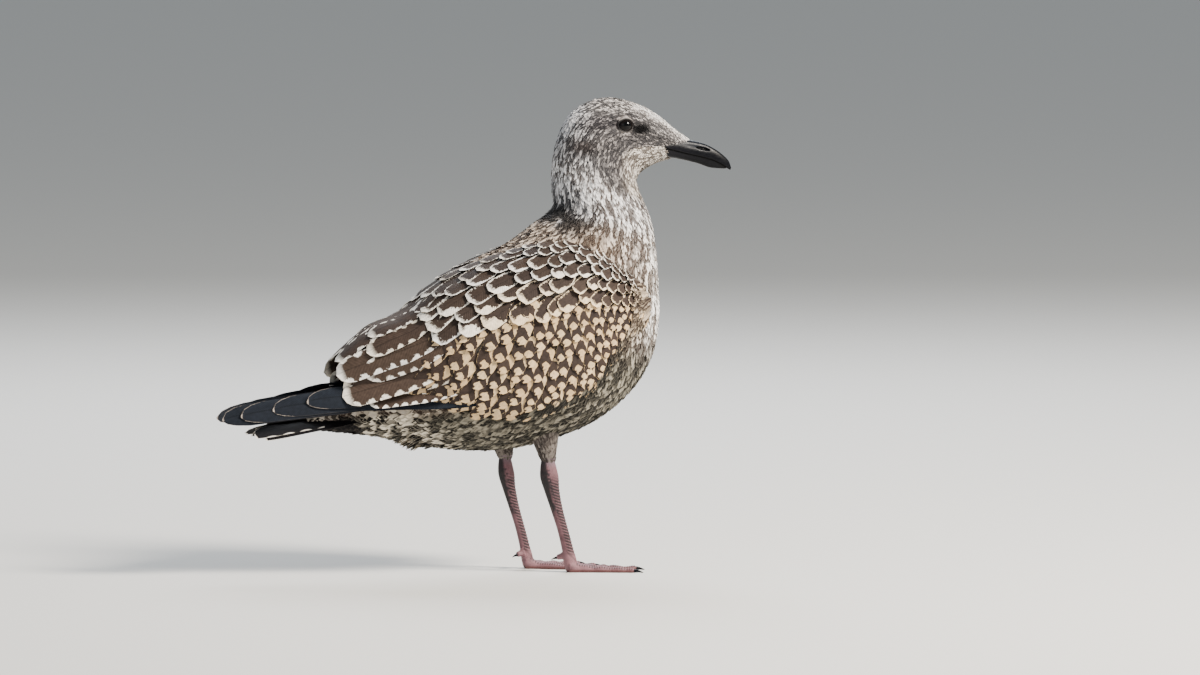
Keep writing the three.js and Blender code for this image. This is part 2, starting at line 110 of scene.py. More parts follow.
def makeCamera():
    # the camera sits at aim + distance along its bearing and looks back at the aim
    a, e = math.radians(shot["azimuth"]), math.radians(shot["elevation"])
    away = Vector((math.sin(a) * math.cos(e), -math.cos(a) * math.cos(e), math.sin(e)))
    aim = Vector((cadHigh.x - shot["aimBehindBill"], 0, shot["aimHeight"]))
    data = bpy.data.cameras.new("camera")
    data.lens = shot["lens"]
    data.sensor_width = 36
    data.clip_end = 100
    made = bpy.data.objects.new("camera", data)
    made.location = aim + away * shot["distance"]
    made.rotation_euler = (-away).to_track_quat("-Z", "Y").to_euler()
    bpy.context.scene.collection.objects.link(made)
    bpy.context.scene.camera = made


makeCamera()
print("camera done")

studio = {
    "floorSize": 30.0, "floorColour": "#d9d8d4", "worldColour": "#dfe6ec", "worldStrength": 0.5,
    "lightsAim": (0.02, 0, 0.22),
    "lights": [  # name, place, size, watts, colour
        ("key", (2.0, -1.7, 2.3), 0.9, 330, "#fff6ea"),
        ("fill", (-2.4, -2.6, 1.2), 2.2, 16, "#e6eef6"),
        ("rim", (0.6, 2.2, 2.2), 1.6, 90, "#f4f8ff"),
    ],
}


def makeStudio():
    # a wide pale floor, three soft square lights that face the bird, and an even pale sky
    half = studio["floorSize"] / 2
    mesh = bpy.data.meshes.new("floor")
    corners = [(-half, -half, 0), (half, -half, 0), (half, half, 0), (-half, half, 0)]
    mesh.from_pydata(corners, [], [(0, 1, 2, 3)])
    floor = bpy.data.objects.new("floor", mesh)
    bpy.context.scene.collection.objects.link(floor)
    material, tree = newMaterial("mattePaperFloor")
    colour = (*linear(studio["floorColour"]), 1)
    shader = put(tree, "BsdfPrincipled", {"Base Color": colour, "Roughness": 0.9})
    put(tree, "OutputMaterial", {"Surface": shader})
    mesh.materials.append(material)
    aim = Vector(studio["lightsAim"])
    for name, place, size, watts, hexColour in studio["lights"]:
        data = bpy.data.lights.new(name, "AREA")
        data.size = size
        data.energy = watts
        data.color = linear(hexColour)
        light = bpy.data.objects.new(name, data)
        light.location = place
        light.rotation_euler = (aim - Vector(place)).to_track_quat("-Z", "Y").to_euler()
        bpy.context.scene.collection.objects.link(light)
    world = bpy.data.worlds.new("sky")
    world.use_nodes = True
    sky = world.node_tree.nodes["Background"]
    sky.inputs["Color"].default_value = (*linear(studio["worldColour"]), 1)
    sky.inputs["Strength"].default_value = studio["worldStrength"]
    bpy.context.scene.world = world


makeStudio()
print("studio done")


# ---- smooth curves and noise ----
def through(rows):
    # a Catmull-Rom curve through the rows, read by row number: a cubic with half the chord as slope,
    # and straight on past both ends
    p = np.array(rows, float)
    p = np.vstack([2 * p[0] - p[1], p, 2 * p[-1] - p[-2]])
    last = len(rows) - 1

    def at(station):
        s = clamped(np.asarray(station, float), 0, last)
        i = np.minimum(s.astype(int), last - 1)
        u = (s - i)[..., None]
        a, b, c, d = p[i], p[i + 1], p[i + 2], p[i + 3]
        leave, arrive = (c - a) / 2, (d - b) / 2
        over = (station - s)[..., None] * (c - b)
        curve = 3 * (c - b) - 2 * leave - arrive + u * (2 * (b - c) + leave + arrive)
        return over + b + u * (leave + u * curve)
    return at


def table(x, pairs):
    # straight lines between given (position, value) pairs
    xs, ys = zip(*pairs)
    return np.interp(x, xs, ys)


def patches(points, size, seed):
    # value noise from 0 to 1: hashed numbers at the corners of cubes of that size, blended smoothly
    q = np.asarray(points) / size + seed * 17.3
    i = np.floor(q).astype(np.int64)
    w = q - i
    w = w * w * (3 - 2 * w)
    total = 0
    for corner in np.ndindex(2, 2, 2):
        c = i + corner
        h = (c[..., 0] * 73856093) ^ (c[..., 1] * 19349663) ^ (c[..., 2] * 83492791) ^ (seed * 9176 + 5)
        h = (h ^ (h >> 13)) * 1274126177 & 0xFFFFFF
        share = np.prod(np.where(corner, w, 1 - w), axis=-1)
        total = total + share * (h / 0xFFFFFF)
    return total


def spotWeight(x, z, middle, reach):
    # a soft oval spot, 1 at its middle
    return np.exp(-((x - middle[0]) / reach[0]) ** 2 - ((z - middle[1]) / reach[1]) ** 2)


# ---- the body's own surface ----
# dorsal x, z; ventral x, z; half width; height of the widest point from 0 to 1, in mm, bill to tail
bodyLoft = {
    "stations": [
        (196.5, 387.5, 181, 369.7, 6.5, .5), (183, 397, 169, 366.8, 12, .48),
        (168, 408.8, 158, 362, 17.5, .48), (149, 419, 150.2, 356.5, 21.5, .5),
        (125, 425, 147.2, 351.5, 24.5, .5), (104, 421.5, 147, 347.5, 26, .48),
        (86, 409, 148.5, 343, 27, .48), (75.5, 388, 151.5, 336.5, 28, .5), (71, 366, 155, 328.5, 29.5, .5),
        (70.8, 345, 159, 319, 32.5, .5), (71.5, 327, 162.5, 305, 38.5, .5), (55, 313, 165, 281, 49, .5),
        (28, 294, 166.5, 252, 58, .5), (1, 281, 166.5, 224, 65, .5), (-22, 264, 160.5, 193, 68.5, .48),
        (-42, 243, 141, 161.5, 67.5, .46), (-58, 221, 107, 135, 63.5, .44), (-71, 202, 64, 118.8, 56, .44),
        (-84, 187, 20, 111, 48, .45), (-97, 176, -26, 112.5, 38, .46), (-110, 166, -72, 121, 27, .48),
        (-128, 156, -104, 126.5, 19, .5), (-152, 147, -146, 131.5, 12, .5),
    ],
    "coatDepth": [(0, .9), (2, 1.2), (4, 1.4), (8, 2.2), (11, 3.5), (22, 4)],  # station, mm over the skin
    "eyeHollow": {"middle": (132, 401), "reach": (11, 8), "deep": 2.6},
}
bodyCurve = through(np.array(bodyLoft["stations"]) * [mm, mm, mm, mm, mm, 1])
lastStation = len(bodyLoft["stations"]) - 1


def bodyPoint(station, turn, inset=0.0):
    # an oval between the dorsal and ventral points: turn 0 is the right side, 0.25 the back
    station, turn = np.broadcast_arrays(station, turn)
    row = bodyCurve(station)
    top, bottom, halfWidth, widest = row[..., 0:2], row[..., 2:4], row[..., 4], row[..., 5]
    angle = turn * 2 * np.pi
    rise = np.sin(angle)
    height = widest + np.where(rise > 0, 1 - widest, widest) * rise
    up = unit(top - bottom)
    inPlane = bottom + (top - bottom) * height[..., None] - up * (inset * rise)[..., None]
    hollow = bodyLoft["eyeHollow"]
    dent = spotWeight(inPlane[..., 0] / mm, inPlane[..., 1] / mm, hollow["middle"], hollow["reach"])
    out = (halfWidth - inset - hollow["deep"] * mm * dent) * np.cos(angle)
    return np.stack([inPlane[..., 0], -out, inPlane[..., 1]], -1)


# ---- the right wing's own surface ----
wingArc = {
    "stations": [  # upper edge, widest point and lower edge as x, outward, z in mm, front to back
        ((128, 44, 276), (141, 51, 240), (127, 47, 204)), ((99, 46, 293), (111, 66, 240), (99, 58, 176)),
        ((65, 35, 300.5), (75, 75, 231), (62, 64, 157)), ((30, 17, 293), (37, 78, 221), (28, 65, 149)),
        ((-3, 7, 281), (0, 76, 211), (-3, 62, 149)), ((-37, 3, 263), (-34, 69, 201), (-34, 56, 154)),
        ((-69, 2, 236.5), (-66, 56, 194), (-65, 46, 159)), ((-99, 1.8, 224), (-96, 43, 187), (-94, 33, 159)),
        ((-131, 1.5, 197), (-131, 28, 180), (-128, 19, 160)),
        ((-152, 1.5, 172), (-158, 15, 165), (-156, 8, 158)),
    ],
    "straightFrom": 0.93,
    "coatDepth": 4.5,
}
wingCurve = through(np.array(wingArc["stations"]).reshape(-1, 9) * mm)


def wingPoint(station, across):
    # a quarter ellipse from the widest line (across 0.5) up to the upper edge (0) and down to the lower (1),
    # which runs straight on at the end, as vanes don't curl under the wing
    station, across = np.broadcast_arrays(station, across)
    row = wingCurve(station)
    side = row[..., 3:6]
    edge = np.where((across < 0.5)[..., None], row[..., 0:3], row[..., 6:9])
    angle = np.abs(np.minimum(across, wingArc["straightFrom"]) - 0.5) * np.pi
    over = np.maximum(across - wingArc["straightFrom"], 0) * np.pi
    toEdge, toSide = np.sin(angle) + over * np.cos(angle), np.cos(angle) - over * np.sin(angle)
    out = edge[..., 1] + (side[..., 1] - edge[..., 1]) * toSide
    x = side[..., 0] + (edge[..., 0] - side[..., 0]) * toEdge ** 2
    return np.stack([x, -out, side[..., 2] + (edge[..., 2] - side[..., 2]) * toEdge], -1)


body = {"place": bodyPoint, "out": -1}
wing = {"place": wingPoint, "out": 1}


def slopes(surface, s, t):
    # the surface's point, its outward normal, and its two derivatives, by central differences
    place, small = surface["place"], 0.004
    along = (place(s + small, t) - place(s - small, t)) / (2 * small)
    across = (place(s, t + small) - place(s, t - small)) / (2 * small)
    normal = np.cross(along, across) * surface["out"]
    normal = normal / (np.linalg.norm(normal, axis=-1, keepdims=True) + 1e-12)
    return place(s, t), normal, along, across


# ---- meshes and materials for feathers ----
def newPiece(name, vertices, faces, material, slot):
    # one mesh of quads from arrays of corners and of four corner numbers a face
    mesh = bpy.data.meshes.new(name)
    mesh.vertices.add(len(vertices))
    mesh.vertices.foreach_set("co", np.ascontiguousarray(vertices, np.float32).ravel())
    mesh.loops.add(faces.size)
    mesh.loops.foreach_set("vertex_index", np.ascontiguousarray(faces, np.int32).ravel())
    mesh.polygons.add(len(faces))
    mesh.polygons.foreach_set("loop_start", np.arange(0, faces.size, faces.shape[1], dtype=np.int32))
    mesh.polygons.foreach_set("use_smooth", np.full(len(faces), True))
    mesh.update(calc_edges=True)
    mesh.materials.append(material)
    piece = bpy.data.objects.new(name, mesh)
    bpy.context.scene.collection.objects.link(piece)
    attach(piece, "root")
    return piece


def paint(mesh, name, kind, values):
    # one value a corner, as a point attribute
    found = mesh.attributes.new(name, kind, "POINT")
    found.data.foreach_set("color" if kind == "FLOAT_COLOR" else "value", values.astype(np.float32).ravel())


def paintGround(mesh, colours):
    colours = colours.reshape(-1, 3)
    paint(mesh, "ground", "FLOAT_COLOR", np.concatenate([colours, np.ones((len(colours), 1))], 1))


def outwards(points, faces, middle=0.0):
    # turns every face round where the closed shell's signed volume is below zero
    a, b, c, d = (points[faces[:, k]] - middle for k in range(4))
    volume = np.sum(a * (np.cross(b, c) + np.cross(c, d)))
    return faces if volume > 0 else faces[:, ::-1]


def unwrap(mesh, name, places, faces):
    layer = mesh.uv_layers.new(name=name)
    layer.uv.foreach_set("vector", places[faces.ravel()].astype(np.float32).ravel())


def vaneMaterial(name, look):
    # Keratin barbs hooked into a vane: a soft matte sheet with fine slanting lines beside a darker shaft.
    # The UV map Vane holds the share across, -1 to 1, and the distance from the tip in half widths. Pale
    # notches reach in from the edges as deep as a raised cosine of that distance says.
    material, tree = newMaterial(name)
    spot = put(tree, "UVMap", uv_map="Vane")
    parts = put(tree, "SeparateXYZ", {0: spot}).node.outputs
    place = put(tree, "TexCoord", out=3)
    ruffle = put(tree, "TexNoise", {
        "Vector": place, "Scale": 1 / look["ruffle"], "Detail": 3.0, "Roughness": 0.6,
    })
    wobble = put(tree, "MapRange", {0: ruffle, 3: -look["ragged"], 4: look["ragged"]})
    off = put(tree, "Math", {0: parts[0]}, operation="ABSOLUTE")
    side = put(tree, "Math", {0: off, 1: wobble}, operation="ADD")
    toSide = put(tree, "Math", {0: 1.0, 1: side}, operation="SUBTRACT")
    toTip = put(tree, "Math", {0: parts[1], 1: wobble}, operation="ADD")
    toTip = put(tree, "Math", {0: toTip, 1: look["tipShare"]}, operation="MULTIPLY")
    fringeSide = put(tree, "Math", {0: toSide, 1: look["sideShare"]}, operation="MULTIPLY")
    fringeSide = put(tree, "Math", {0: parts[1], 1: look["fade"], 2: fringeSide}, operation="MULTIPLY_ADD")
    nearest = put(tree, "Math", {0: fringeSide, 1: toTip}, operation="MINIMUM")
    ground = put(tree, "Attribute", attribute_name="ground").node.outputs
    rim = put(tree, "Attribute", attribute_name="rim").node.outputs
    inFringe = put(tree, "Math", {0: rim[3], 1: nearest}, operation="SUBTRACT")
    fringe = put(tree, "MapRange", {0: inFringe, 1: -look["soft"], 2: look["soft"]})
    pace = put(tree, "Attribute", attribute_name="bars", out=2)
    phase = put(tree, "Attribute", attribute_name="phase", out=2)
    slant = put(tree, "Math", {0: side, 1: look["slant"], 2: parts[1]}, operation="MULTIPLY_ADD")
    slant = put(tree, "Math", {0: wobble, 1: 1.2, 2: slant}, operation="MULTIPLY_ADD")
    wave = put(tree, "Math", {0: slant, 1: pace, 2: phase}, operation="MULTIPLY_ADD")
    wave = put(tree, "Math", {0: wave}, operation="COSINE")
    bars = put(tree, "Math", {0: wave, 1: look["bar"], 2: 1 - look["bar"]}, operation="MULTIPLY_ADD",
               use_clamp=True)
    bars = put(tree, "Math", {0: bars, 1: look["round"]}, operation="POWER")
    reach = put(tree, "Math", {0: ground[3], 1: bars}, operation="MULTIPLY")
    where = put(tree, "Mix", {0: look["lopsided"], 2: side, 3: parts[0]})
    reach = put(tree, "Math", {0: reach, 1: where}, operation="ADD")
    notch = put(tree, "MapRange", {0: reach, 1: 0.98, 2: 1.08})
    pale = put(tree, "Math", {0: fringe, 1: notch}, operation="MAXIMUM")
    colour = put(tree, "Mix", {0: pale, 6: ground[0], 7: rim[0]}, out=2, data_type="RGBA")
    shaft = put(tree, "MapRange", {
        0: off, 1: look["shaft"] * 0.4, 2: look["shaft"], 3: look["shaftShade"], 4: 1.0,
    })
    barbs = put(tree, "Math", {0: off, 1: 0.8, 2: parts[1]}, operation="MULTIPLY_ADD")
    barbs = put(tree, "Math", {0: barbs, 1: look["barbs"]}, operation="MULTIPLY")
    barbs = put(tree, "Math", {0: barbs}, operation="SINE")
    fleck = put(tree, "TexNoise", {"Vector": place, "Scale": 1 / look["fleck"], "Detail": 3.0})
    lines = put(tree, "MapRange", {0: barbs, 1: -1.0, 3: 1 - look["barbShade"], 4: 1.0})
    uneven = put(tree, "MapRange", {0: fleck, 1: 0.25, 2: 0.75, 3: 1 - look["uneven"], 4: 1 + look["uneven"]})
    shade = put(tree, "Math", {0: shaft, 1: lines}, operation="MULTIPLY")
    shade = put(tree, "Math", {0: shade, 1: uneven}, operation="MULTIPLY")
    colour = put(tree, "VectorMath", {0: colour, "Scale": shade}, operation="SCALE")
    bump = put(tree, "Bump", {"Height": barbs, "Strength": look["bump"], "Distance": 0.0002})
    shader = put(tree, "BsdfPrincipled", {
        "Base Color": colour, "Normal": bump, "Roughness": look["roughness"],
        "Specular IOR Level": look["gloss"], "IOR": 1.54, "Sheen Weight": look["sheen"],
        "Sheen Roughness": 0.5,
    })
    put(tree, "OutputMaterial", {"Surface": shader})
    return material


softVane = {
    "ruffle": 2.5 * mm, "ragged": 0.1,  # size of the noise that frays the markings, and by how much
    "tipShare": 1.0, "sideShare": 1.0, "fade": 0.0, "soft": 0.12,  # the pale fringe at the tip and the sides
    "slant": 0.9, "bar": 0.5, "round": 1.0, "lopsided": 0.0,  # the pale notches
    "shaft": 0.08, "shaftShade": 0.9, "barbs": 26.0, "barbShade": 0.1,
    "fleck": 1.6 * mm, "uneven": 0.12, "bump": 0.25, "roughness": 0.85, "gloss": 0.1, "sheen": 0.03,
}
fringedVane = {
    **softVane, "ragged": 0.5, "soft": 0.08, "shaftShade": 0.78, "fleck": 3 * mm, "roughness": 0.75,
    "gloss": 0.14, "sheen": 0.0, "ruffle": 2.2 * mm, "tipShare": 0.5, "sideShare": 1.7, "uneven": 0.24,
    "slant": 0.4, "bar": 0.62, "round": 0.6, "lopsided": 0.9,
}
notchedVane = {
    **fringedVane, "ragged": 0.14, "sideShare": 4.0, "tipShare": 2.0, "slant": 0.75, "bar": 0.64,
    "round": 0.55, "lopsided": 0.85, "shaftShade": 0.85, "ruffle": 3 * mm,
}
spottedVane = {
    **notchedVane, "sideShare": 60, "tipShare": 0.45, "slant": 0.3, "bar": 0.66, "round": 0.45,
    "lopsided": 0.0, "shaftShade": 0.7, "ragged": 0.2,
}
flightVane = {
    **fringedVane, "ragged": 0.06, "soft": 0.04, "sideShare": 1.5, "fade": 0.06, "tipShare": 0.9,
    "roughness": 0.45, "gloss": 0.13, "shaftShade": 0.6, "barbs": 34.0, "barbShade": 0.14,
}
downMaterial = vaneMaterial("looseContourFeather", softVane)
fringedMaterial = vaneMaterial("fringedVaneFeather", fringedVane)
notchedMaterial = vaneMaterial("notchedVaneFeather", notchedVane)
spottedMaterial = vaneMaterial("spottedVaneFeather", spottedVane)
flightMaterial = vaneMaterial("glossyFlightFeather", flightVane)
tailMaterial = vaneMaterial("mattTailFeather", {**flightVane, "roughness": 0.6, "gloss": 0.06})


# ---- feathers as thin closed blades ----
def vaneWidths(f, rows):
    # each row's share of the half width: narrow at the root, full by a third, and a half round tip
    v = rows[None, :]
    tip = clamped(f["halfWidth"] * f["roundness"] / f["length"], 0.04, 0.9)[:, None]
    past = clamped((v - 1 + tip) / tip)
    return (0.45 + 0.55 * ease(v, -0.1, 0.35)) * np.sqrt(np.maximum(1 - past ** 2, 0.003))


def layOver(surface, f, rows, columns):
    # Walks each shaft over the surface from its root in steps, turned by f turn from the surface's own
    # length lines, or goes straight to f tipS and tipT, and spreads the vane to both sides. The root sinks
    # in, the tip lifts with the square of the share along, the vane tilts with the share across and droops
    # with its square.
    s, t = f["s"].copy(), f["t"].copy()
    width = vaneWidths(f, rows) * f["halfWidth"][:, None]
    grid = np.empty((len(s), len(rows), len(columns), 3))
    normals = np.empty_like(grid)
    for k, v in enumerate(rows):
        point, normal, along, across = slopes(surface, s, t)
        ahead = unit(along)
        down = across - ahead * np.sum(across * ahead, -1, keepdims=True)
        down = down / (np.linalg.norm(down, axis=-1, keepdims=True) + 1e-12)
        turn = f["turn"][:, None]
        if "tipS" in f:
            go = along * (f["tipS"] - f["s"])[:, None] + across * (f["tipT"] - f["t"])[:, None]
            turn = np.arctan2(np.sum(go * down, -1), np.sum(go * ahead, -1))[:, None]
        heading = np.cos(turn) * ahead + np.sin(turn) * down
        side = np.cos(turn) * down - np.sin(turn) * ahead
        x = width[:, k, None] * columns[None]
        height = (f["lift"] * v ** 2 - f["rootDepth"] * (1 - v) ** 1.5)[:, None]
        height = height + f["tilt"][:, None] * columns[None] - x ** 2 / (2 * f["curve"])
        grid[:, k] = point[:, None] + side[:, None] * x[..., None] + normal[:, None] * height[..., None]
        normals[:, k] = normal[:, None]
        if "tipS" in f and k + 1 < len(rows):
            s = blend(f["s"], f["tipS"], rows[k + 1])
            t = blend(f["t"], f["tipT"], rows[k + 1])
        elif k + 1 < len(rows):
            step = (rows[k + 1] - v) * f["length"]
            aa, ab, bb = (np.sum(p * q, -1) for p, q in ((along, along), (along, across), (across, across)))
            goA, goB = np.sum(heading * along, -1) * step, np.sum(heading * across, -1) * step
            whole = aa * bb - ab * ab + 1e-18
            s = s + (goA * bb - goB * ab) / whole
            t = t + (goB * aa - goA * ab) / whole
    return grid, normals


def bladeFaces(rows, columns, flip):
    # the upper sheet's quads, then the lower sheet's, which shares the outline's corners
    over = np.arange(rows * columns).reshape(rows, columns)
    under = over.copy()
    under[1:-1, 1:-1] = rows * columns + np.arange((rows - 2) * (columns - 2)).reshape(rows - 2, columns - 2)

    def quads(n):
        return np.stack([n[:-1, :-1], n[1:, :-1], n[1:, 1:], n[:-1, 1:]], -1).reshape(-1, 4)
    faces = np.vstack([quads(over), quads(under)[:, ::-1]])
    return faces[:, ::-1] if flip else faces


def featherPiece(name, grid, normals, f, rows, columns, material, slot, flip, patch, mirrored):
    # Every feather's upper and lower sheet in one mesh, with its colours and its two UV maps: Vane for the
    # markings, and OFBake, where a feather is a small patch at its root's place, f bake.
    count = len(grid)
    lower = grid[:, 1:-1, 1:-1] - normals[:, 1:-1, 1:-1] * f["thickness"]
    points = np.concatenate([grid.reshape(count, -1, 3), lower.reshape(count, -1, 3)], 1)
    if mirrored:
        points = points * [1, -1, 1]
    each = points.shape[1]
    template = bladeFaces(len(rows), len(columns), flip != mirrored)
    faces = (template[None] + each * np.arange(count)[:, None, None]).reshape(-1, 4)
    piece = newPiece(name, points.reshape(-1, 3), faces, material, slot)
    mesh = piece.data
    v, u = np.meshgrid(rows, columns, indexing="ij")
    share = np.stack([u, v], -1)
    share = np.concatenate([share.reshape(-1, 2), share[1:-1, 1:-1].reshape(-1, 2)])
    fromTip = (1 - share[None, :, 1]) * (f["length"] / f["halfWidth"])[:, None]
    vane = np.stack([np.broadcast_to(share[None, :, 0], fromTip.shape), fromTip], -1)
    unwrap(mesh, "Vane", vane.reshape(-1, 2), faces)
    spread = (share[None] - [0, 0.5]) * [0.5, 1] * patch
    bake = 0.01 + 0.98 * f["bake"][:, None] + spread
    unwrap(mesh, "OFBake", bake.reshape(-1, 2), faces)
    for key in ("ground", "rim"):
        paint(mesh, key, "FLOAT_COLOR", np.repeat(f[key], each, 0))
    for key in ("phase", "bars"):
        paint(mesh, key, "FLOAT", np.repeat(f[key], each, 0))
    outline = np.zeros((len(rows), len(columns)), bool)
    outline[[0, -1]] = outline[:, [0, -1]] = True
    rimmed = np.tile(np.concatenate([outline.ravel(), np.zeros(each - outline.size, bool)]), count)
    ends = np.empty(len(mesh.edges) * 2, np.int32)
    mesh.edges.foreach_get("vertices", ends)
    sharp = mesh.attributes.new("sharp_edge", "BOOLEAN", "EDGE")
    sharp.data.foreach_set("value", rimmed[ends[0::2]] & rimmed[ends[1::2]])
    print(name, count, "feathers,", len(faces) * 2, "triangles")
    return piece


# the rows along a feather and the columns across it, from the smallest feathers to the longest
smallMesh = (np.array([0, 0.4, 0.75, 1]), np.array([-1, 0, 1]))
largeMesh = (np.array([0, 0.3, 0.6, 0.8, 0.92, 1]), np.array([-1, -0.55, 0, 0.55, 1]))
flightMesh = (np.array([0, 0.2, 0.4, 0.6, 0.75, 0.86, 0.93, 0.975, 1]),
              np.array([-1, -0.7, -0.35, -0.1, 0, 0.1, 0.35, 0.7, 1]))
vaneDefaults = {
    "tract": {"curve": 60 * mm, "thickness": 0.25 * mm},
    "feather": {"turn": 0, "lift": 1.2 * mm, "rootDepth": 1.5 * mm, "tilt": 0, "bow": 0, "skew": 0,
                "roundness": 1.3, "phase": 0, "bars": 0},
}


def filled(f, count):
    # adds the values that a tract leaves alone, and makes each feather's own values into arrays
    f = {**vaneDefaults["tract"], **vaneDefaults["feather"], **f}
    for key in (*vaneDefaults["feather"], "length", "halfWidth"):
        f[key] = np.broadcast_to(np.asarray(f[key], float), (count,)).copy()
    return f


def tractPiece(name, surface, f, mesh, material, slot, patch=0.003, mirrored=False):
    # a tract's feathers laid over a surface, as one piece
    grid, normals = layOver(surface, f, *mesh)
    return featherPiece(name, grid, normals, f, *mesh, material, slot, surface["out"] < 0, patch, mirrored)


scatter = {
    "cells": (120, 96),  # of the table of areas, along s and along t
    "steps": (0.7548776662, 0.5698402910),  # 1 over the plastic number, and that squared
    "jitter": (0.02, 0.0015),
}


def scattered(surface, sRange, tRange, spacing, seed):
    # An even scatter of roots: a sequence that fills a square evenly, warped so that each bit of the surface
    # gets its area over the spacing squared.
    rng = np.random.default_rng(seed)
    rows, columns = scatter["cells"]
    sEdges, tEdges = np.linspace(*sRange, rows + 1), np.linspace(*tRange, columns + 1)
    sMiddle, tMiddle = (sEdges[1:] + sEdges[:-1]) / 2, (tEdges[1:] + tEdges[:-1]) / 2
    s, t = np.meshgrid(sMiddle, tMiddle, indexing="ij")
    _, _, along, across = slopes(surface, s, t)
    area = np.linalg.norm(np.cross(along, across), axis=-1) * np.diff(sEdges)[0] * np.diff(tEdges)[0]
    share = area / spacing(s, t) ** 2
    count = int(share.sum())
    i = np.arange(count)
    a, b = ((0.5 + i * step) % 1 for step in scatter["steps"])
    rowSums = np.concatenate([[0], np.cumsum(share.sum(1))]) / share.sum()
    sRow = np.interp(a, rowSums, np.arange(rows + 1))
    sums = np.concatenate([np.zeros((rows, 1)), np.cumsum(share, 1)], 1)
    sums = sums / sums[:, -1:]
    mine = sums[np.minimum(sRow.astype(int), rows - 1)]
    column = np.sum(mine <= b[:, None], 1) - 1
    low, high = mine[i, column], mine[i, np.minimum(column + 1, columns)]
    tRow = column + (b - low) / np.maximum(high - low, 1e-9)
    s = sRange[0] + (sRange[1] - sRange[0]) * sRow / rows + rng.normal(0, scatter["jitter"][0], count)
    t = tRange[0] + (tRange[1] - tRange[0]) * tRow / columns + rng.normal(0, scatter["jitter"][1], count)
    return clamped(s, *sRange), t, rng


# ---- the body's colours ----
# light, dark, and how much of the plumage is dark
plumage = {
    "head": ("#c3bdba", "#424143", 0.63),
    "crown": ("#d6d0cc", "#3d3c3e", 0.6),
    # forehead: pale plumage, brightened to near white on its upper side as painted highlight
    "forehead": ("#fffefc", "#a79c95", 0.22),
    "cheek": ("#8f8987", "#353436", 0.64),
    "throat": ("#dbd3c9", "#5c534d", 0.52),
    "lore": ("#0b0a0b", "#030203", 0.8),
    "smudge": ("#575455", "#1b1a1c", 0.64),
    "ear": ("#625754", "#272322", 0.7),
    "lidRing": ("#aca5a1", "#807975", 0.2),
    "brow": ("#767071", "#2a292c", 0.64),
    "nape": ("#e9e8ea", "#37373b", 0.43),
    "neck": ("#fffdfc", "#544b47", 0.5),
    # dark streaks at the neck's base, deepened by painted shade in the crease between neck and mantle
    "collarStreaksAndShade": ("#96908c", "#09080a", 0.8),
    "mantle": ("#d8c6b4", "#382d28", 0.55),
    "breast": ("#ece3da", "#4f433c", 0.62),
    "front": ("#fffdfa", "#6b6058", 0.42),
    "shoulder": ("#bba692", "#46392f", 0.6),
    "breastSide": ("#c4b29a", "#372d27", 0.57),
    # flank: mottled plumage, darkened by painted shade under the folded wing
    "flank": ("#6f6a5e", "#1c1a18", 0.72),
    # belly: flecked plumage, darkened by painted shade on the underside
    "belly": ("#979080", "#262420", 0.57),
    "undertail": ("#ddd2be", "#12100f", 0.56),
    # painted shade: near black beneath the tail's base, over its barred feathers
    "tailBaseShade": ("#4b4540", "#0c0b0d", 0.85),
    "rump": ("#e0d5c6", "#3d322c", 0.5),
    "thigh": ("#756d67", "#37312f", 0.52),
}


def mouthLine(x):
    # the height of the gape's feather line on the cheek, mm
    return table(x, [(120, 372), (135, 379.5), (147, 382), (171, 381)])


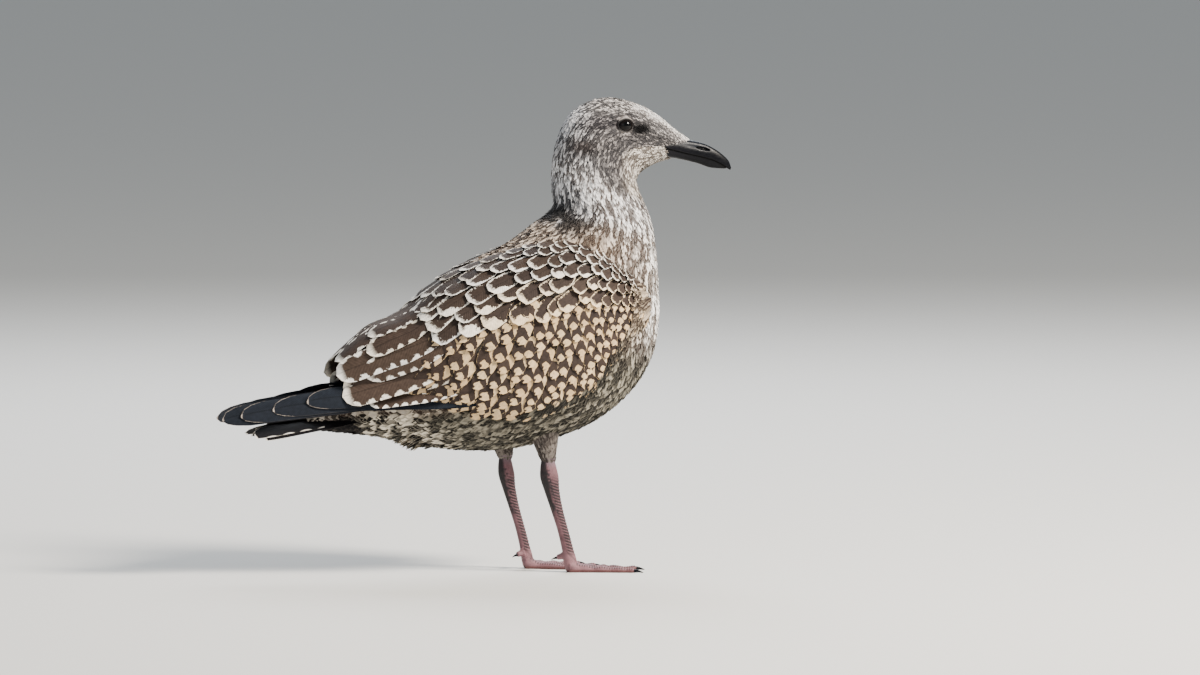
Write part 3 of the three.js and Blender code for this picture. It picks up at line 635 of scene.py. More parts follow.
def bodyPlumage(point, s, t):
    # Zones blended over each other down the body: each covers what is under it by its own soft weight.
    x, y, z = point[..., 0] / mm, np.abs(point[..., 1]) / mm, point[..., 2] / mm
    rise = np.sin(t * 2 * np.pi)
    middle = 10.15 + 0.35 * ease(rise, 1, 0.6)
    onSide, ring = ease(y, 8, 14), np.hypot((x - 132.5) / 8.2, (z - 401) / 6.3)
    layers = [
        ("head", np.ones_like(x)),
        ("crown", ease(z, 408, 416) * ease(x, 150, 130)),
        ("nape", ease(x, 112, 90) * ease(s, 9, 6)),
        # painted highlight: near white over the upper side of the face's front
        ("forehead", 0.84 * ease(x, 128, 158) * ease(rise, 0.62, 1.0)),
        ("cheek", ease(x, 98, 124) * ease(z, 398, 392) * ease(rise, 0.5, 0.2)),
        ("throat", ease(z, mouthLine(x) + 1.2, mouthLine(x) - 1) * ease(x, 122, 138) * ease(s, 7.8, 6.8)),
        ("brow", 0.9 * spotWeight(x, z, (114, 404), (26, 8.5)) * onSide),
        ("smudge", 0.8 * spotWeight(x, z, (134, 401.5), (12.5, 9.2)) * onSide),
        ("lore", np.minimum(1, 1.5 * spotWeight(x, z, (147.5, 397.6), (8.5, 4.4))) * onSide),
        ("lidRing", 0.9 * np.exp(-((ring - 1.22) / 0.17) ** 2) * ease(np.abs(x - 132), 7.5, 4) * onSide),
        ("smudge", 0.75 * spotWeight(x, z, (110, 400), (17, 3.4)) * onSide),
        ("ear", 0.95 * spotWeight(x, z, (94, 383), (17, 11)) * onSide),
        ("neck", ease(s, 6.9, 8.2)),
        ("nape", ease(s, 7.5, 8.8) * ease(rise, 0.05, 0.75)),
        # dark streaks round the neck's base, partly painted shade in the crease under the mantle
        ("collarStreaksAndShade", ease(s, middle - 0.9, middle - 0.25) * ease(s, middle + 0.55, middle + 0.15)
         * ease(rise, -0.5, 0.35) * ease(patches(point, 9 * mm, 3), 0, 0.3)),
        ("collarStreaksAndShade", 0.7 * spotWeight(x, z, (86, 323), (19, 13)) * ease(patches(point, 9 * mm, 4), 0.05, 0.35)),
        ("breast", ease(s, 9.5, 10.6) * ease(rise, 0.5, 0.1)),
        ("front", ease(s, 9, 10.5) * ease(rise, -0.6, -0.88) * ease(z, 186, 222)),
        ("mantle", ease(s, middle + 0.1, middle + 0.6) * ease(rise, 0.1, 0.4)),
        ("shoulder", 0.9 * spotWeight(x, z, (97, 290), (26, 24)) * ease(z, 322, 306)),
        ("breastSide", ease(s, 11, 12.4) * ease(rise, -0.88, -0.5) * ease(rise, 0.45, 0.1)),
        # painted shade: the lower side behind the breast, under the wing, in the flank's dark colours
        ("flank", ease(s, 13.4, 14.6) * ease(rise, 0.1, -0.2)),
        # the belly's colours also cover everything low on the body: painted shade, darker towards the bottom
        ("belly", np.maximum(ease(s, 15.2, 16.6), ease(z, 235, 165)) * ease(rise, 0.3, -0.1)),
        ("rump", ease(s, 16, 18) * ease(rise, 0, 0.4)),
        ("undertail", ease(s, 18.4, 19.2) * ease(rise, 0.3, 0)),
        # painted shade beneath the tail's base, on its under side and sides only
        ("tailBaseShade", ease(s, 20.5, 20.9) * ease(rise, 0.4, 0.1)),
    ]
    light, dark, share = np.zeros(x.shape + (3,)), np.zeros(x.shape + (3,)), np.zeros(x.shape)
    for zone, weight in layers:
        pale, deep, amount = plumage[zone]
        light = light + (linear(pale) - light) * weight[..., None]
        dark = dark + (linear(deep) - dark) * weight[..., None]
        share = share + (amount - share) * weight
    return light, dark, share


# ---- the skin: one closed surface under all the feathers, down to the toes ----
leg = {
    # x forward of the ankle, height, half depth fore and aft, half width across, in mm
    "stations": [
        (-1, 128, 6, 5.4), (-1, 104, 6.1, 5), (-0.5, 94, 7.6, 6), (0.6, 85, 8.5, 6.6), (3, 73, 7, 5.3),
        (7.6, 56, 5.7, 4.2), (13, 38, 5.2, 3.8), (17.6, 20, 5.5, 4.3), (19.8, 9, 6.2, 5.2),
        (20.4, 2.6, 5.2, 5), (20.6, -0.6, 3, 3),
    ],
    "heelX": 19.5,
    "thigh": {"top": (-9, 156, 24, 17), "bottom": (-1, 102, 6.9, 6), "coat": 3.5},
    "sides": [("right", 61, 1.0, False), ("left", 33, 0.88, True)],  # name, ankle x, girth, mirrored
    "halfStance": 23,
    "plate": 2.8, "grooveDepth": 0.35,  # height of one front plate and depth between two, mm
    "grain": 0.6,  # mesh size of shanks and feet, mm
    "sole": 0.35,  # what lies lower than this is flat on the ground, mm
}
toeSet = {
    "toes": [(47, 0.56, 2), (63, 0.08, 3), (58, -0.36, 4)],  # length, turn, joints
    "root": 4.0, "tip": 2.3, "knuckle": 0.35, "instep": 2.2,  # radii and what is added to them, in mm
    "rest": 0.72,  # share of the radius from a toe's axis down to the ground
    "hind": {"length": 7, "shrink": 0.6, "turn": (8, 160), "place": (-4, 3, 12.5)},
    "web": {"thickness": 1.3, "reach": 0.93, "hollow": 0.2},
}
legCurve = through(np.array(leg["stations"]) * mm)


def closedTube(grid):
    # rings with an even number of points, joined by quads; strips across the end rings close it
    rows, columns = grid.shape[:2]
    n = np.arange(rows * columns).reshape(rows, columns)
    beside = np.roll(n, -1, 1)
    walls = np.stack([n[:-1], beside[:-1], beside[1:], n[1:]], -1).reshape(-1, 4)
    i = np.arange(columns // 2 - 1)
    first, last = (np.stack([end[i], end[i + 1], end[columns - 2 - i], end[columns - 1 - i]], -1)
                   for end in (n[0], n[-1]))
    points = grid.reshape(-1, 3)
    return points, outwards(points, np.vstack([walls, first[:, ::-1], last]))


def joinedMeshes(pairs):
    starts = np.cumsum([0] + [len(points) for points, _ in pairs])
    points = np.vstack([points for points, _ in pairs])
    return points, np.vstack([faces + start for (_, faces), start in zip(pairs, starts)])


def rawObject(name, points, faces):
    mesh = bpy.data.meshes.new(name)
    mesh.from_pydata(points.tolist(), [], faces.tolist())
    made = bpy.data.objects.new(name, mesh)
    bpy.context.scene.collection.objects.link(made)
    return made


def baked(made):
    # the object's mesh with its modifiers applied; the object itself goes
    bpy.context.view_layer.update()
    mesh = bpy.data.meshes.new_from_object(made.evaluated_get(bpy.context.evaluated_depsgraph_get()))
    bpy.data.objects.remove(made)
    return mesh


def unite(first, others):
    for other in others:
        join = first.modifiers.new("join", "BOOLEAN")
        join.operation = "UNION"
        join.solver = "MANIFOLD"
        join.object = other
    mesh = baked(first)
    for other in others:
        bpy.data.objects.remove(other)
    return mesh


def rings(shareAlong, shareRound):
    # two parameters on a grid: along from 0 to 1 with both ends, round from 0 to 1 without its end
    return np.meshgrid(np.linspace(0, 1, shareAlong), np.arange(shareRound) / shareRound, indexing="ij")


def bodySkin():
    along, turn = rings(180, 96)
    station = along * lastStation
    return closedTube(bodyPoint(station, turn, table(station, bodyLoft["coatDepth"]) * mm))


def wingSkin(mirrored):
    # the wing's face inside its coat, and the same face again deeper in, joined at all edges
    half, rows = 24, 70
    fold = np.concatenate([np.arange(half), np.arange(half)[::-1]]) / (half - 1)
    station, across = np.meshgrid(np.linspace(0.15, 6.6, rows), 0.04 + 0.9 * fold, indexing="ij")
    point, normal, _, _ = slopes(wing, station, across)
    inner = np.arange(2 * half) >= half
    taper = np.minimum(1, 5 * np.minimum(fold, 1 - fold))[None]
    taper = taper * ease(station, 0, 0.8) * ease(station, 6.8, 5)
    depth = wingArc["coatDepth"] * mm + inner[None] * (1.2 + 9 * taper) * mm
    grid = point - normal * depth[..., None]
    return closedTube(grid * [1, -1 if mirrored else 1, 1])


def coneSkin(place, flip):
    # a flattened cone that runs from the belly down to the bare leg
    along, turn = rings(24, 40)
    (x0, z0, deep0, wide0), (x1, z1, deep1, wide1) = leg["thigh"]["top"], leg["thigh"]["bottom"]
    share = along ** 0.85
    coat = leg["thigh"]["coat"] * (1 - along)
    deep, wide = blend(deep0, deep1, share) - coat, blend(wide0, wide1, share) - coat
    angle = turn * 2 * np.pi
    x, y = blend(x0, x1, along) + deep * np.cos(angle), wide * np.sin(angle)
    return closedTube((np.stack([x, y, blend(z0, z1, along)], -1) * mm + place) * [1, flip, 1])


def legSkin(girth):
    # an oval section along the leg's curve
    along, turn = rings(90, 28)
    row = legCurve(along * (len(leg["stations"]) - 1))
    angle = turn * 2 * np.pi
    x = row[..., 0] + row[..., 2] * girth * np.cos(angle)
    return closedTube(np.stack([x, row[..., 3] * girth * np.sin(angle), row[..., 1]], -1))


def turnedZ(points, angle):
    c, s = np.cos(angle), np.sin(angle)
    return points @ np.array([[c, s, 0], [-s, c, 0], [0, 0, 1]])


def hindPlaced(points):
    # a hind toe or claw that points along +X: tipped, turned round and set over the heel
    tip, turn = (math.radians(angle) for angle in toeSet["hind"]["turn"])
    c, s = math.cos(tip), math.sin(tip)
    points = points @ np.array([[c, 0, -s], [0, 1, 0], [s, 0, c]])
    return turnedZ(points, turn) + np.array(toeSet["hind"]["place"]) * mm


def toeSkin(length, joints):
    # a tapering round tube that swells at each joint and lies on its own flattened under side
    along, turn = rings(12 * joints + 14, 24)
    knuckle = toeSet["knuckle"] * np.cos(2 * np.pi * joints * along)
    end = np.sqrt(np.maximum(1 - ease(along, 0.9, 1.06) ** 2, 0))
    instep = toeSet["instep"] * np.exp(-(along * length / 9) ** 2)
    radius = (blend(toeSet["root"], toeSet["tip"], along) + knuckle + instep) * end
    angle = turn * 2 * np.pi
    z = radius * (toeSet["rest"] / end + np.sin(angle))
    return closedTube(np.stack([along * length, radius * np.cos(angle), z], -1) * mm)


def webSkin(a, b):
    # a thin sheet between two toes: along runs from the joint out to a hollow free edge
    web = toeSet["web"]
    along, across = np.meshgrid(np.linspace(0.02, 1, 40), np.linspace(0, 1, 24), indexing="ij")
    ends = [np.array([math.cos(turn), math.sin(turn)]) * length * web["reach"] for length, turn, _ in (a, b)]
    middle = (ends[0] + ends[1]) / 2 * (1 - web["hollow"])
    u = across[..., None]
    edge = (1 - u) ** 2 * ends[0] + 2 * u * (1 - u) * middle + u ** 2 * ends[1]
    flat = edge * along[..., None]
    half = web["thickness"] / 2
    upper = np.dstack([flat, np.full(along.shape, 2 * half)])
    lower = np.dstack([flat, np.zeros(along.shape)])
    return closedTube(np.concatenate([upper, lower[:, ::-1]], 1) * mm)


def footSkin():
    shapes = []
    for length, turn, joints in toeSet["toes"]:
        points, faces = toeSkin(length, joints)
        shapes.append((turnedZ(points, turn), faces))
    inner, middle, outer = toeSet["toes"]
    shapes += [webSkin(middle, inner), webSkin(outer, middle)]
    hind = toeSet["hind"]
    points, faces = toeSkin(hind["length"], 1)
    shapes.append((hindPlaced(points * [1, hind["shrink"], hind["shrink"]]), faces))
    return shapes


def shankAxis(z):
    # how far forward of the ankle the leg's axis lies at a height, both in mm
    axis = legCurve(np.linspace(0, len(leg["stations"]) - 1, 200)) / mm
    return np.interp(z, axis[::-1, 1], axis[::-1, 0])


def scaled(points, normals):
    # Plates on the shank's front and the toes' tops: shallow grooves a plate apart, in steps along the leg
    # or along the nearest toe. Returns the moved points and how deep in a groove each one is.
    q = points / mm
    plate = leg["plate"]
    shank = ease(q[:, 2], 14, 20) * ease(normals[:, 0], -0.5, 0) * ease(q[:, 2], 90, 78)
    rows = q[:, 2] / plate + 0.35 * (q[:, 0] - shankAxis(q[:, 2])) / plate
    groove = shank * ease(np.abs(np.cos(np.pi * rows)), 0.4, 0.82)
    fromHeel = q[:, :2] - [leg["heelX"], 0]
    reach, bearing = np.hypot(*fromHeel.T), np.arctan2(fromHeel[:, 1], fromHeel[:, 0])
    for _, turn, _ in toeSet["toes"]:
        off = reach * np.sin(bearing - turn)
        top = ease(normals[:, 2], 0.2, 0.6) * ease(np.abs(off), 4, 2.6) * ease(q[:, 2], 1.8, 2.6)
        top = top * ease(q[:, 2], 18, 12) * (reach > 3) * (np.abs(bearing - turn) < 0.6)
        lines = reach * np.cos(bearing - turn) / (plate * 0.8)
        groove = np.maximum(groove, top * ease(np.abs(np.cos(np.pi * lines)), 0.7, 1))
    return points - normals * (groove * leg["grooveDepth"] * mm)[:, None], groove


def meshArrays(mesh):
    points, normals = np.empty(len(mesh.vertices) * 3), np.empty(len(mesh.vertices) * 3)
    mesh.vertices.foreach_get("co", points)
    mesh.vertex_normals.foreach_get("vector", normals)
    return points.reshape(-1, 3), normals.reshape(-1, 3)


def shankAndFoot(side, ankleX, girth, mirrored):
    # leg and foot melted into one mesh of even grain, smoothed, flattened under the sole and then scaled
    shapes = [(points + [leg["heelX"] * mm, 0, 0], faces) for points, faces in footSkin()]
    made = rawObject("leg_" + side, *joinedMeshes([legSkin(girth)] + shapes))
    melt = made.modifiers.new("melt", "REMESH")
    melt.mode = "VOXEL"
    melt.voxel_size = leg["grain"] * mm
    soften = made.modifiers.new("soften", "SMOOTH")
    soften.factor = 0.5
    soften.iterations = 7
    mesh = baked(made)
    points, normals = meshArrays(mesh)
    points, groove = scaled(points, normals)
    points[:, 2] = np.where(points[:, 2] < leg["sole"] * mm, 0, points[:, 2])
    flip = -1 if mirrored else 1
    points = (points + [ankleX * mm, -leg["halfStance"] * mm, 0]) * [1, flip, 1]
    mesh.vertices.foreach_set("co", points.ravel())
    if mirrored:
        mesh.flip_normals()
    made = bpy.data.objects.new("leg_" + side, mesh)
    bpy.context.scene.collection.objects.link(made)
    return made, points, groove


def skinMaterial():
    # Bare scaled leg skin, waxy and slightly shiny, and dull skin under the feathers: a fine net of grooves
    # around scales about a millimetre across, over colours that lie in the attribute "ground".
    material, tree = newMaterial("scaledLegSkin")
    place = put(tree, "TexCoord", out=3)
    ground = put(tree, "Attribute", attribute_name="ground").node.outputs
    cells = put(tree, "TexVoronoi", {"Vector": place, "Scale": 1 / (1.1 * mm)}, feature="DISTANCE_TO_EDGE")
    net = put(tree, "MapRange", {0: cells, 1: 0.0, 2: 0.16})
    shade = put(tree, "MapRange", {0: net, 3: 0.72, 4: 1.0})
    mottle = put(tree, "TexNoise", {"Vector": place, "Scale": 1 / (4 * mm), "Detail": 4.0})
    uneven = put(tree, "MapRange", {0: mottle, 1: 0.3, 2: 0.7, 3: 0.86, 4: 1.12})
    shade = put(tree, "Math", {0: shade, 1: uneven}, operation="MULTIPLY")
    colour = put(tree, "VectorMath", {0: ground[0], "Scale": shade}, operation="SCALE")
    bump = put(tree, "Bump", {"Height": net, "Strength": 0.5, "Distance": 0.00025})
    shader = put(tree, "BsdfPrincipled", {
        "Base Color": colour, "Normal": bump, "Roughness": 0.52, "Specular IOR Level": 0.4, "IOR": 1.45,
    })
    put(tree, "OutputMaterial", {"Surface": shader})
    return material


# tones of the bare leg; dark is painted shade for the leg's back and its low crease
legTones = {
    "pink": "#755157", "deep": "#482e34", "dark": "#110d10", "groove": "#0f080b", "web": "#6d4444",
    "tibia": "#6d5f67", "net": "#30242a", "toe": "#8f676d",
}


def legColour(points, groove):
    # dull pink, with painted shade down the back of the ankle and in a crease low on the shank, and dark
    # lines between the plates
    q = points / mm
    right = q[:, 1] < 0
    ankle = np.where(right, leg["sides"][0][1], leg["sides"][1][1])
    back = q[:, 0] - ankle - shankAxis(q[:, 2])
    colour = np.broadcast_to(linear(legTones["pink"]), points.shape)
    blotch = patches(points, 7 * mm, 5)
    colour = blend(colour, linear(legTones["toe"]), ease(q[:, 2], 24, 10)[:, None])
    colour = blend(colour, linear(legTones["deep"]), (0.55 * ease(blotch, 0.45, 0.9))[:, None])
    colour = blend(colour, linear(legTones["web"]), ease(q[:, 2], 3.4, 1.6)[:, None])
    colour = blend(colour, linear(legTones["tibia"]), (0.8 * ease(q[:, 2], 92, 102))[:, None])
    scales = patches(points, 1.5 * mm, 8) * ease(back, 1.5, -1)
    scales = scales * ease(q[:, 2], 36, 58) * ease(q[:, 2], 100, 88)
    colour = blend(colour, linear(legTones["net"]), ease(scales, 0.3, 0.7)[:, None])
    # painted shade: the back of the shank, away from the light, turned almost black
    rear = ease(back, -1.6, -4) * ease(q[:, 2], 42, 66)
    colour = blend(colour, linear(legTones["dark"]), (0.92 * rear)[:, None])
    # painted shade in a slanting crease low on the shank, above the toes
    creaseShade = np.exp(-((q[:, 2] - 16 + 1.2 * back) / 1.6) ** 2) * ease(np.abs(back - 1), 4.5, 3)
    colour = blend(colour, linear(legTones["dark"]), (0.5 * creaseShade * ease(q[:, 2], 3, 8))[:, None])
    return blend(colour, linear(legTones["groove"]), (0.97 * groove)[:, None])


def bodyTones():
    # spots all over the body with the mean colour of the plumage there, darkened to 0.6 as painted shade
    # where the skin shows between the feathers
    station, turn = (a.ravel() for a in rings(160, 64))
    station = station * lastStation
    spots = bodyPoint(station, turn)
    light, dark, share = bodyPlumage(spots, station, turn)
    # the 0.6 is painted shade for the skin in the gaps under the feathers
    return spots, blend(light, dark, share[:, None]) * 0.6


def nearestTones(points, known):
    # each point's colour is that of the nearest known spot
    places, tones = (np.vstack(part) for part in zip(*known))
    finder = KDTree(len(places))
    for i, spot in enumerate(places):
        finder.insert(spot, i)
    finder.balance()
    return tones[np.array([finder.find(point)[1] for point in points])]


def makeSkin():
    # the body, wings, thighs, legs, feet and lids united as one shell
    parts = [rawObject("part", *shape) for shape in (bodySkin(), wingSkin(False), wingSkin(True))]
    known = [bodyTones()]
    for side, ankleX, girth, mirrored in leg["sides"]:
        flip = -1 if mirrored else 1
        place = np.array([ankleX, -leg["halfStance"], 0]) * mm
        parts.append(rawObject("part", *coneSkin(place, flip)))
        made, points, groove = shankAndFoot(side, ankleX, girth, mirrored)
        parts.append(made)
        known.append((points, legColour(points, groove)))
        ring, tones = lidSkin(flip)
        parts.append(rawObject("part", *ring))
        known.append((ring[0], tones))
    mesh = unite(parts[0], parts[1:])
    points, _ = meshArrays(mesh)
    mesh.name = "skin"
    skin = bpy.data.objects.new("skin", mesh)
    bpy.context.scene.collection.objects.link(skin)
    mesh.materials.clear()
    mesh.materials.append(skinMaterial())
    mesh.polygons.foreach_set("use_smooth", np.full(len(mesh.polygons), True))
    paintGround(mesh, nearestTones(points, known))
    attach(skin, "root")
    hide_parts("head", "neck", "trunk", "abdomen", "wing_right", "wing_left", "thigh_right",
                "thigh_left", "shank_right", "shank_left", "foot_right", "foot_left")
    print("skin", len(points), "points")


# ---- eyes and lids ----
eyeSet = {
    "centre": (132.5, -17.7, 401), "radius": 7.7, "axis": (0.12, -1, 0.06),
    "opening": (1.12, 0.77),  # half angles of the lids' opening, fore and aft and up and down
    "corner": 1.75,  # under 2 the lids meet in corners
    # round the lid's section: how far outside the opening's angle, how high over the eyeball in mm, and how
    # much of the wet edge's colour it has
    "lid": [(0, 0.02, 1), (0.02, 0.3, 1), (0.09, 0.62, 0.9), (0.2, 0.8, 0.1), (0.34, 0.75, 0),
            (0.5, 0.3, 0), (0.62, -0.6, 0), (0.5, -2.2, 0), (0.25, -2, 0), (0.05, -0.9, 1)],
    "lidTurns": 96,
    "edge": "#141112", "outside": "#a9a19c", "corners": "#3a3234",
    "cornea": (0.45, 0.5),  # height of its bulge in mm, and its half width as an angle
    "sunk": 0.15,
    "pupil": "#020203", "pupilEdge": (0.46, 0.52),  # edges are angles from the axis
    "iris": "#0e0907", "irisEdge": (0.78, 0.9), "outer": "#070505",
}


def eyeDirection(angle, around):
    # a unit vector that leans by angle from the eye's axis, towards around: 0 forwards, a quarter turn up
    axis = unit(np.array(eyeSet["axis"], float))
    ahead = unit(np.array([1, 0, 0]) - axis * axis[0])
    up = np.cross(ahead, -axis)
    turn = around * 2 * np.pi
    lean = np.cos(turn)[..., None] * ahead + np.sin(turn)[..., None] * up
    return np.cos(angle)[..., None] * axis + np.sin(angle)[..., None] * lean


def lidOpening(around):
    # the opening's half angle towards around: an oval with drawn-out corners
    c, r = np.abs(np.cos(around * 2 * np.pi)), np.abs(np.sin(around * 2 * np.pi))
    (wide, high), k = eyeSet["opening"], eyeSet["corner"]
    return ((c / wide) ** k + (r / high) ** k) ** (-1 / k)


def lidPoint(around, beyond, height):
    # a place over the eyeball at a height in mm, beyond the lids' opening by that angle
    away = eyeDirection(lidOpening(around) + beyond, around)
    return np.array(eyeSet["centre"]) * mm + away * ((eyeSet["radius"] + height) * mm)[..., None]


def lidSkin(flip):
    # the lid's section swept round the eye: a closed ring, as a grid that closes both ways
    turns = eyeSet["lidTurns"]
    around = np.arange(turns)[:, None] / turns
    beyond, height, wet = np.array(eyeSet["lid"]).T
    grid = lidPoint(around + 0 * beyond, beyond + 0 * around, height + 0 * around)
    n = np.arange(grid.shape[0] * grid.shape[1]).reshape(grid.shape[:2])
    beside = np.roll(n, -1, 1)
    faces = np.stack([n, beside, np.roll(beside, -1, 0), np.roll(n, -1, 0)], -1).reshape(-1, 4)
    points = grid.reshape(-1, 3) * [1, flip, 1]
    middle = np.array(eyeSet["centre"]) * mm * [1, flip, 1]
    upright = np.repeat(ease(np.abs(np.sin(around * 2 * np.pi)), 0.3, 0.75), len(wet))[:, None]
    outside = blend(linear(eyeSet["corners"]), linear(eyeSet["outside"]), upright)
    colours = blend(outside, linear(eyeSet["edge"]), np.tile(wet, turns)[:, None])
    return (points, outwards(points, faces, middle)), colours


def eyeMaterial():
    # A wet eyeball: a dark brown iris round a black pupil, under a clear, very smooth film of tears.
    # The attribute "ground" holds the iris colours.
    material, tree = newMaterial("wetDarkEye")
    ground = put(tree, "Attribute", attribute_name="ground").node.outputs
    shader = put(tree, "BsdfPrincipled", {
        "Base Color": ground[0], "Roughness": 0.2, "Specular IOR Level": 0.04, "IOR": 1.38,
        "Coat Weight": 0.3, "Coat Roughness": 0.03,
    })
    put(tree, "OutputMaterial", {"Surface": shader})
    return material


wetEye = eyeMaterial()


def makeEye(side, flip):
    # rings round the eye's axis from the cornea's middle to the back; the cornea bulges by a bell curve
    rows, columns = 48, 64
    angle, around = np.meshgrid(np.linspace(0.02, 3.1, rows), np.arange(columns) / columns, indexing="ij")
    high, wide = eyeSet["cornea"]
    bulge = high * np.exp(-(angle / wide) ** 2)
    radius = (eyeSet["radius"] + bulge - eyeSet["sunk"]) * mm
    grid = np.array(eyeSet["centre"]) * mm + eyeDirection(angle, around) * radius[..., None]
    points, faces = closedTube(grid * [1, flip, 1])
    piece = newPiece("eyeball_" + side, points, faces, wetEye, "eye")
    iris, outer = (ease(angle, *eyeSet[edge])[..., None] for edge in ("pupilEdge", "irisEdge"))
    colour = blend(linear(eyeSet["pupil"]), linear(eyeSet["iris"]), iris)
    paintGround(piece.data, blend(colour, linear(eyeSet["outer"]), outer))
    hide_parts("eye_" + side)


for sideName, flipSide in (("right", 1), ("left", -1)):
    makeEye(sideName, flipSide)
print("eyes done")


# ---- bill ----
bill = {
    # lines as x and height, from inside the face to the tip, in mm, and the half widths beside them
    "culmen": [(172, 386.5), (184, 388), (197, 386.4), (211.4, 382.7), (221.4, 377.8), (228.5, 372.8),
               (234.3, 367.2), (237, 360.8)],
    "mouth": [(172, 380), (182, 377.4), (195, 374), (208, 371), (220, 367.6), (229, 363), (234.2, 359.6),
              (236, 358.6)],
    "mouthUnder": [(172, 380.1), (182, 377.5), (195, 374.1), (208, 371.1), (218, 368.4), (225, 365.2),
                   (230, 362.4), (232.4, 361)],
    "lower": [(172, 371), (183, 369.8), (195, 367.4), (206, 364.6), (215.7, 361.2), (223, 360.2),
              (229.5, 359.8), (232, 359.9)],
    "halfWidths": [13.4, 10, 7, 5.4, 4.5, 3.5, 2.1, 0.8],
    "halves": {  # node, outer line, cutting line, girth, how flat the sides are, and how deep the inside is
        "billUpper": ("bill_upper", "culmen", "mouth", 1, 0.8, 0.25),
        "billLower": ("bill_lower", "lower", "mouthUnder", 0.88, 0.62, -0.2),
    },
    "taper": 1.3,  # over 1 the rows stand closer together towards the tip
    "nostril": {"from": (203, 379.7), "to": (216, 376.9), "half": 1.0, "deep": 1.9, "hollow": 0.4},
    # ridge is a painted bluish sheen along the upper bill's top; edge is painted shade along the mouth line
    # and inside the nostril
    "horn": "#090a0e", "ridge": "#171b22", "base": "#121116", "edge": "#030304",
}


def hornMaterial():
    # Smooth keratin horn over the bill and claws: almost black with a soft sheen, and fine growth streaks
    # that run to the tip. The attribute "ground" holds its colours.
    material, tree = newMaterial("blackishBillHorn")
    place = put(tree, "TexCoord", out=3)
    streak = put(tree, "Mapping", {"Vector": place, "Scale": (0.15, 1.0, 1.0)})
    lines = put(tree, "TexNoise", {"Vector": streak, "Scale": 1 / (0.7 * mm), "Detail": 3.0})
    ground = put(tree, "Attribute", attribute_name="ground").node.outputs
    shade = put(tree, "MapRange", {0: lines, 1: 0.3, 2: 0.7, 3: 0.8, 4: 1.2})
    colour = put(tree, "VectorMath", {0: ground[0], "Scale": shade}, operation="SCALE")
    rough = put(tree, "MapRange", {0: lines, 1: 0.3, 2: 0.7, 3: 0.26, 4: 0.4})
    bump = put(tree, "Bump", {"Height": lines, "Strength": 0.25, "Distance": 0.0002})
    shader = put(tree, "BsdfPrincipled", {
        "Base Color": colour, "Normal": bump, "Roughness": rough, "Specular IOR Level": 0.09, "IOR": 1.54,
    })
    put(tree, "OutputMaterial", {"Surface": shader})
    return material


blackHorn = hornMaterial()


def billSection(top, bottom, halfWidth, fold, arch, roof):
    # An arch over a shallow hollow: fold runs 0 to 0.8 from one cutting edge over the ridge to the other,
    # and on to 1 back across the hollow, roof of the height deep. arch under 1 makes the sides flatter.
    over = fold < 0.8
    angle = np.where(over, fold / 0.8, 0) * np.pi
    back = clamped((fold - 0.8) / 0.2)
    width = np.where(over, np.sign(np.cos(angle)) * np.abs(np.cos(angle)) ** arch, 2 * back - 1)
    lift = np.where(over, np.sin(angle) ** 0.9, roof * (1 - (2 * back - 1) ** 2))
    inPlane = bottom + (top - bottom) * lift[..., None]
    return np.stack([inPlane[..., 0], -halfWidth * width, inPlane[..., 1]], -1)


def nostrilShares(x, z, fold):
    # how much of the nostril reaches each point of the upper bill's sides: a slit with an ellipse's outline,
    # and a hollow round it that fades by a bell curve
    nostril = bill["nostril"]
    start, stop = np.array(nostril["from"]), np.array(nostril["to"])
    length = np.linalg.norm(stop - start)
    way = (stop - start) / length
    along = (x - start[0]) * way[0] + (z - start[1]) * way[1]
    off = np.abs((z - start[1]) * way[0] - (x - start[0]) * way[1])
    half = nostril["half"] * np.sqrt(clamped(1 - (2 * along / length - 1) ** 2))
    slit = ease(off, half + 0.35, half - 0.25) * (half > 0.05) * (fold < 0.8)
    hollow = np.exp(-(off / 2.2) ** 2) * ease(along, -22, -6) * ease(along, 18, 8) * (fold < 0.8)
    return slit, hollow


def makeBillHalf(name, node, outerLine, cuttingLine, girth, arch, roof):
    # sections between the outer and the cutting line, with painted shade in black along the mouth line and
    # inside the nostril, and a painted sheen along the upper bill's top
    along, fold = np.meshgrid(np.linspace(0, 1, 170), np.arange(72) / 72, indexing="ij")
    station = (1 - (1 - along) ** bill["taper"]) * (len(bill["halfWidths"]) - 1)
    outer, cutting = (through(np.array(bill[line]) * mm)(station) for line in (outerLine, cuttingLine))
    halfWidth = through([[width * mm] for width in bill["halfWidths"]])(station)[..., 0] * girth
    grid = billSection(outer, cutting, halfWidth, fold, arch, roof)
    x, z = grid[..., 0] / mm, grid[..., 2] / mm
    overMouth = z - np.interp(x, *np.array(bill["mouth"]).T)
    colour = np.broadcast_to(linear(bill["horn"]), grid.shape)
    if node == "bill_upper":
        slit, hollow = nostrilShares(x, z, fold)
        inward = (bill["nostril"]["deep"] * slit + bill["nostril"]["hollow"] * hollow) * mm
        grid[..., 1] -= np.sign(grid[..., 1]) * np.minimum(inward, np.abs(grid[..., 1]) * 0.9)
        # painted sheen: the upper bill's top is lightened and tinted blue
        ridge = 0.75 * ease(overMouth, 3.5, 8) * ease(x, 226, 200)
        colour = blend(colour, linear(bill["ridge"]), ridge[..., None])
        # painted shade inside the nostril
        colour = blend(colour, linear(bill["edge"]), slit[..., None])
    colour = blend(colour, linear(bill["base"]), (0.5 * ease(x, 205, 178))[..., None])
    # painted shade along the mouth line where the two halves meet
    colour = blend(colour, linear(bill["edge"]), (0.9 * ease(np.abs(overMouth), 1.0, 0.4))[..., None])
    piece = newPiece(name, *closedTube(grid), blackHorn, "bill_horn")
    paintGround(piece.data, colour)
    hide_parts(node)


for pieceName, half in bill["halves"].items():
    makeBillHalf(pieceName, *half)
print("bill done")

makeSkin()


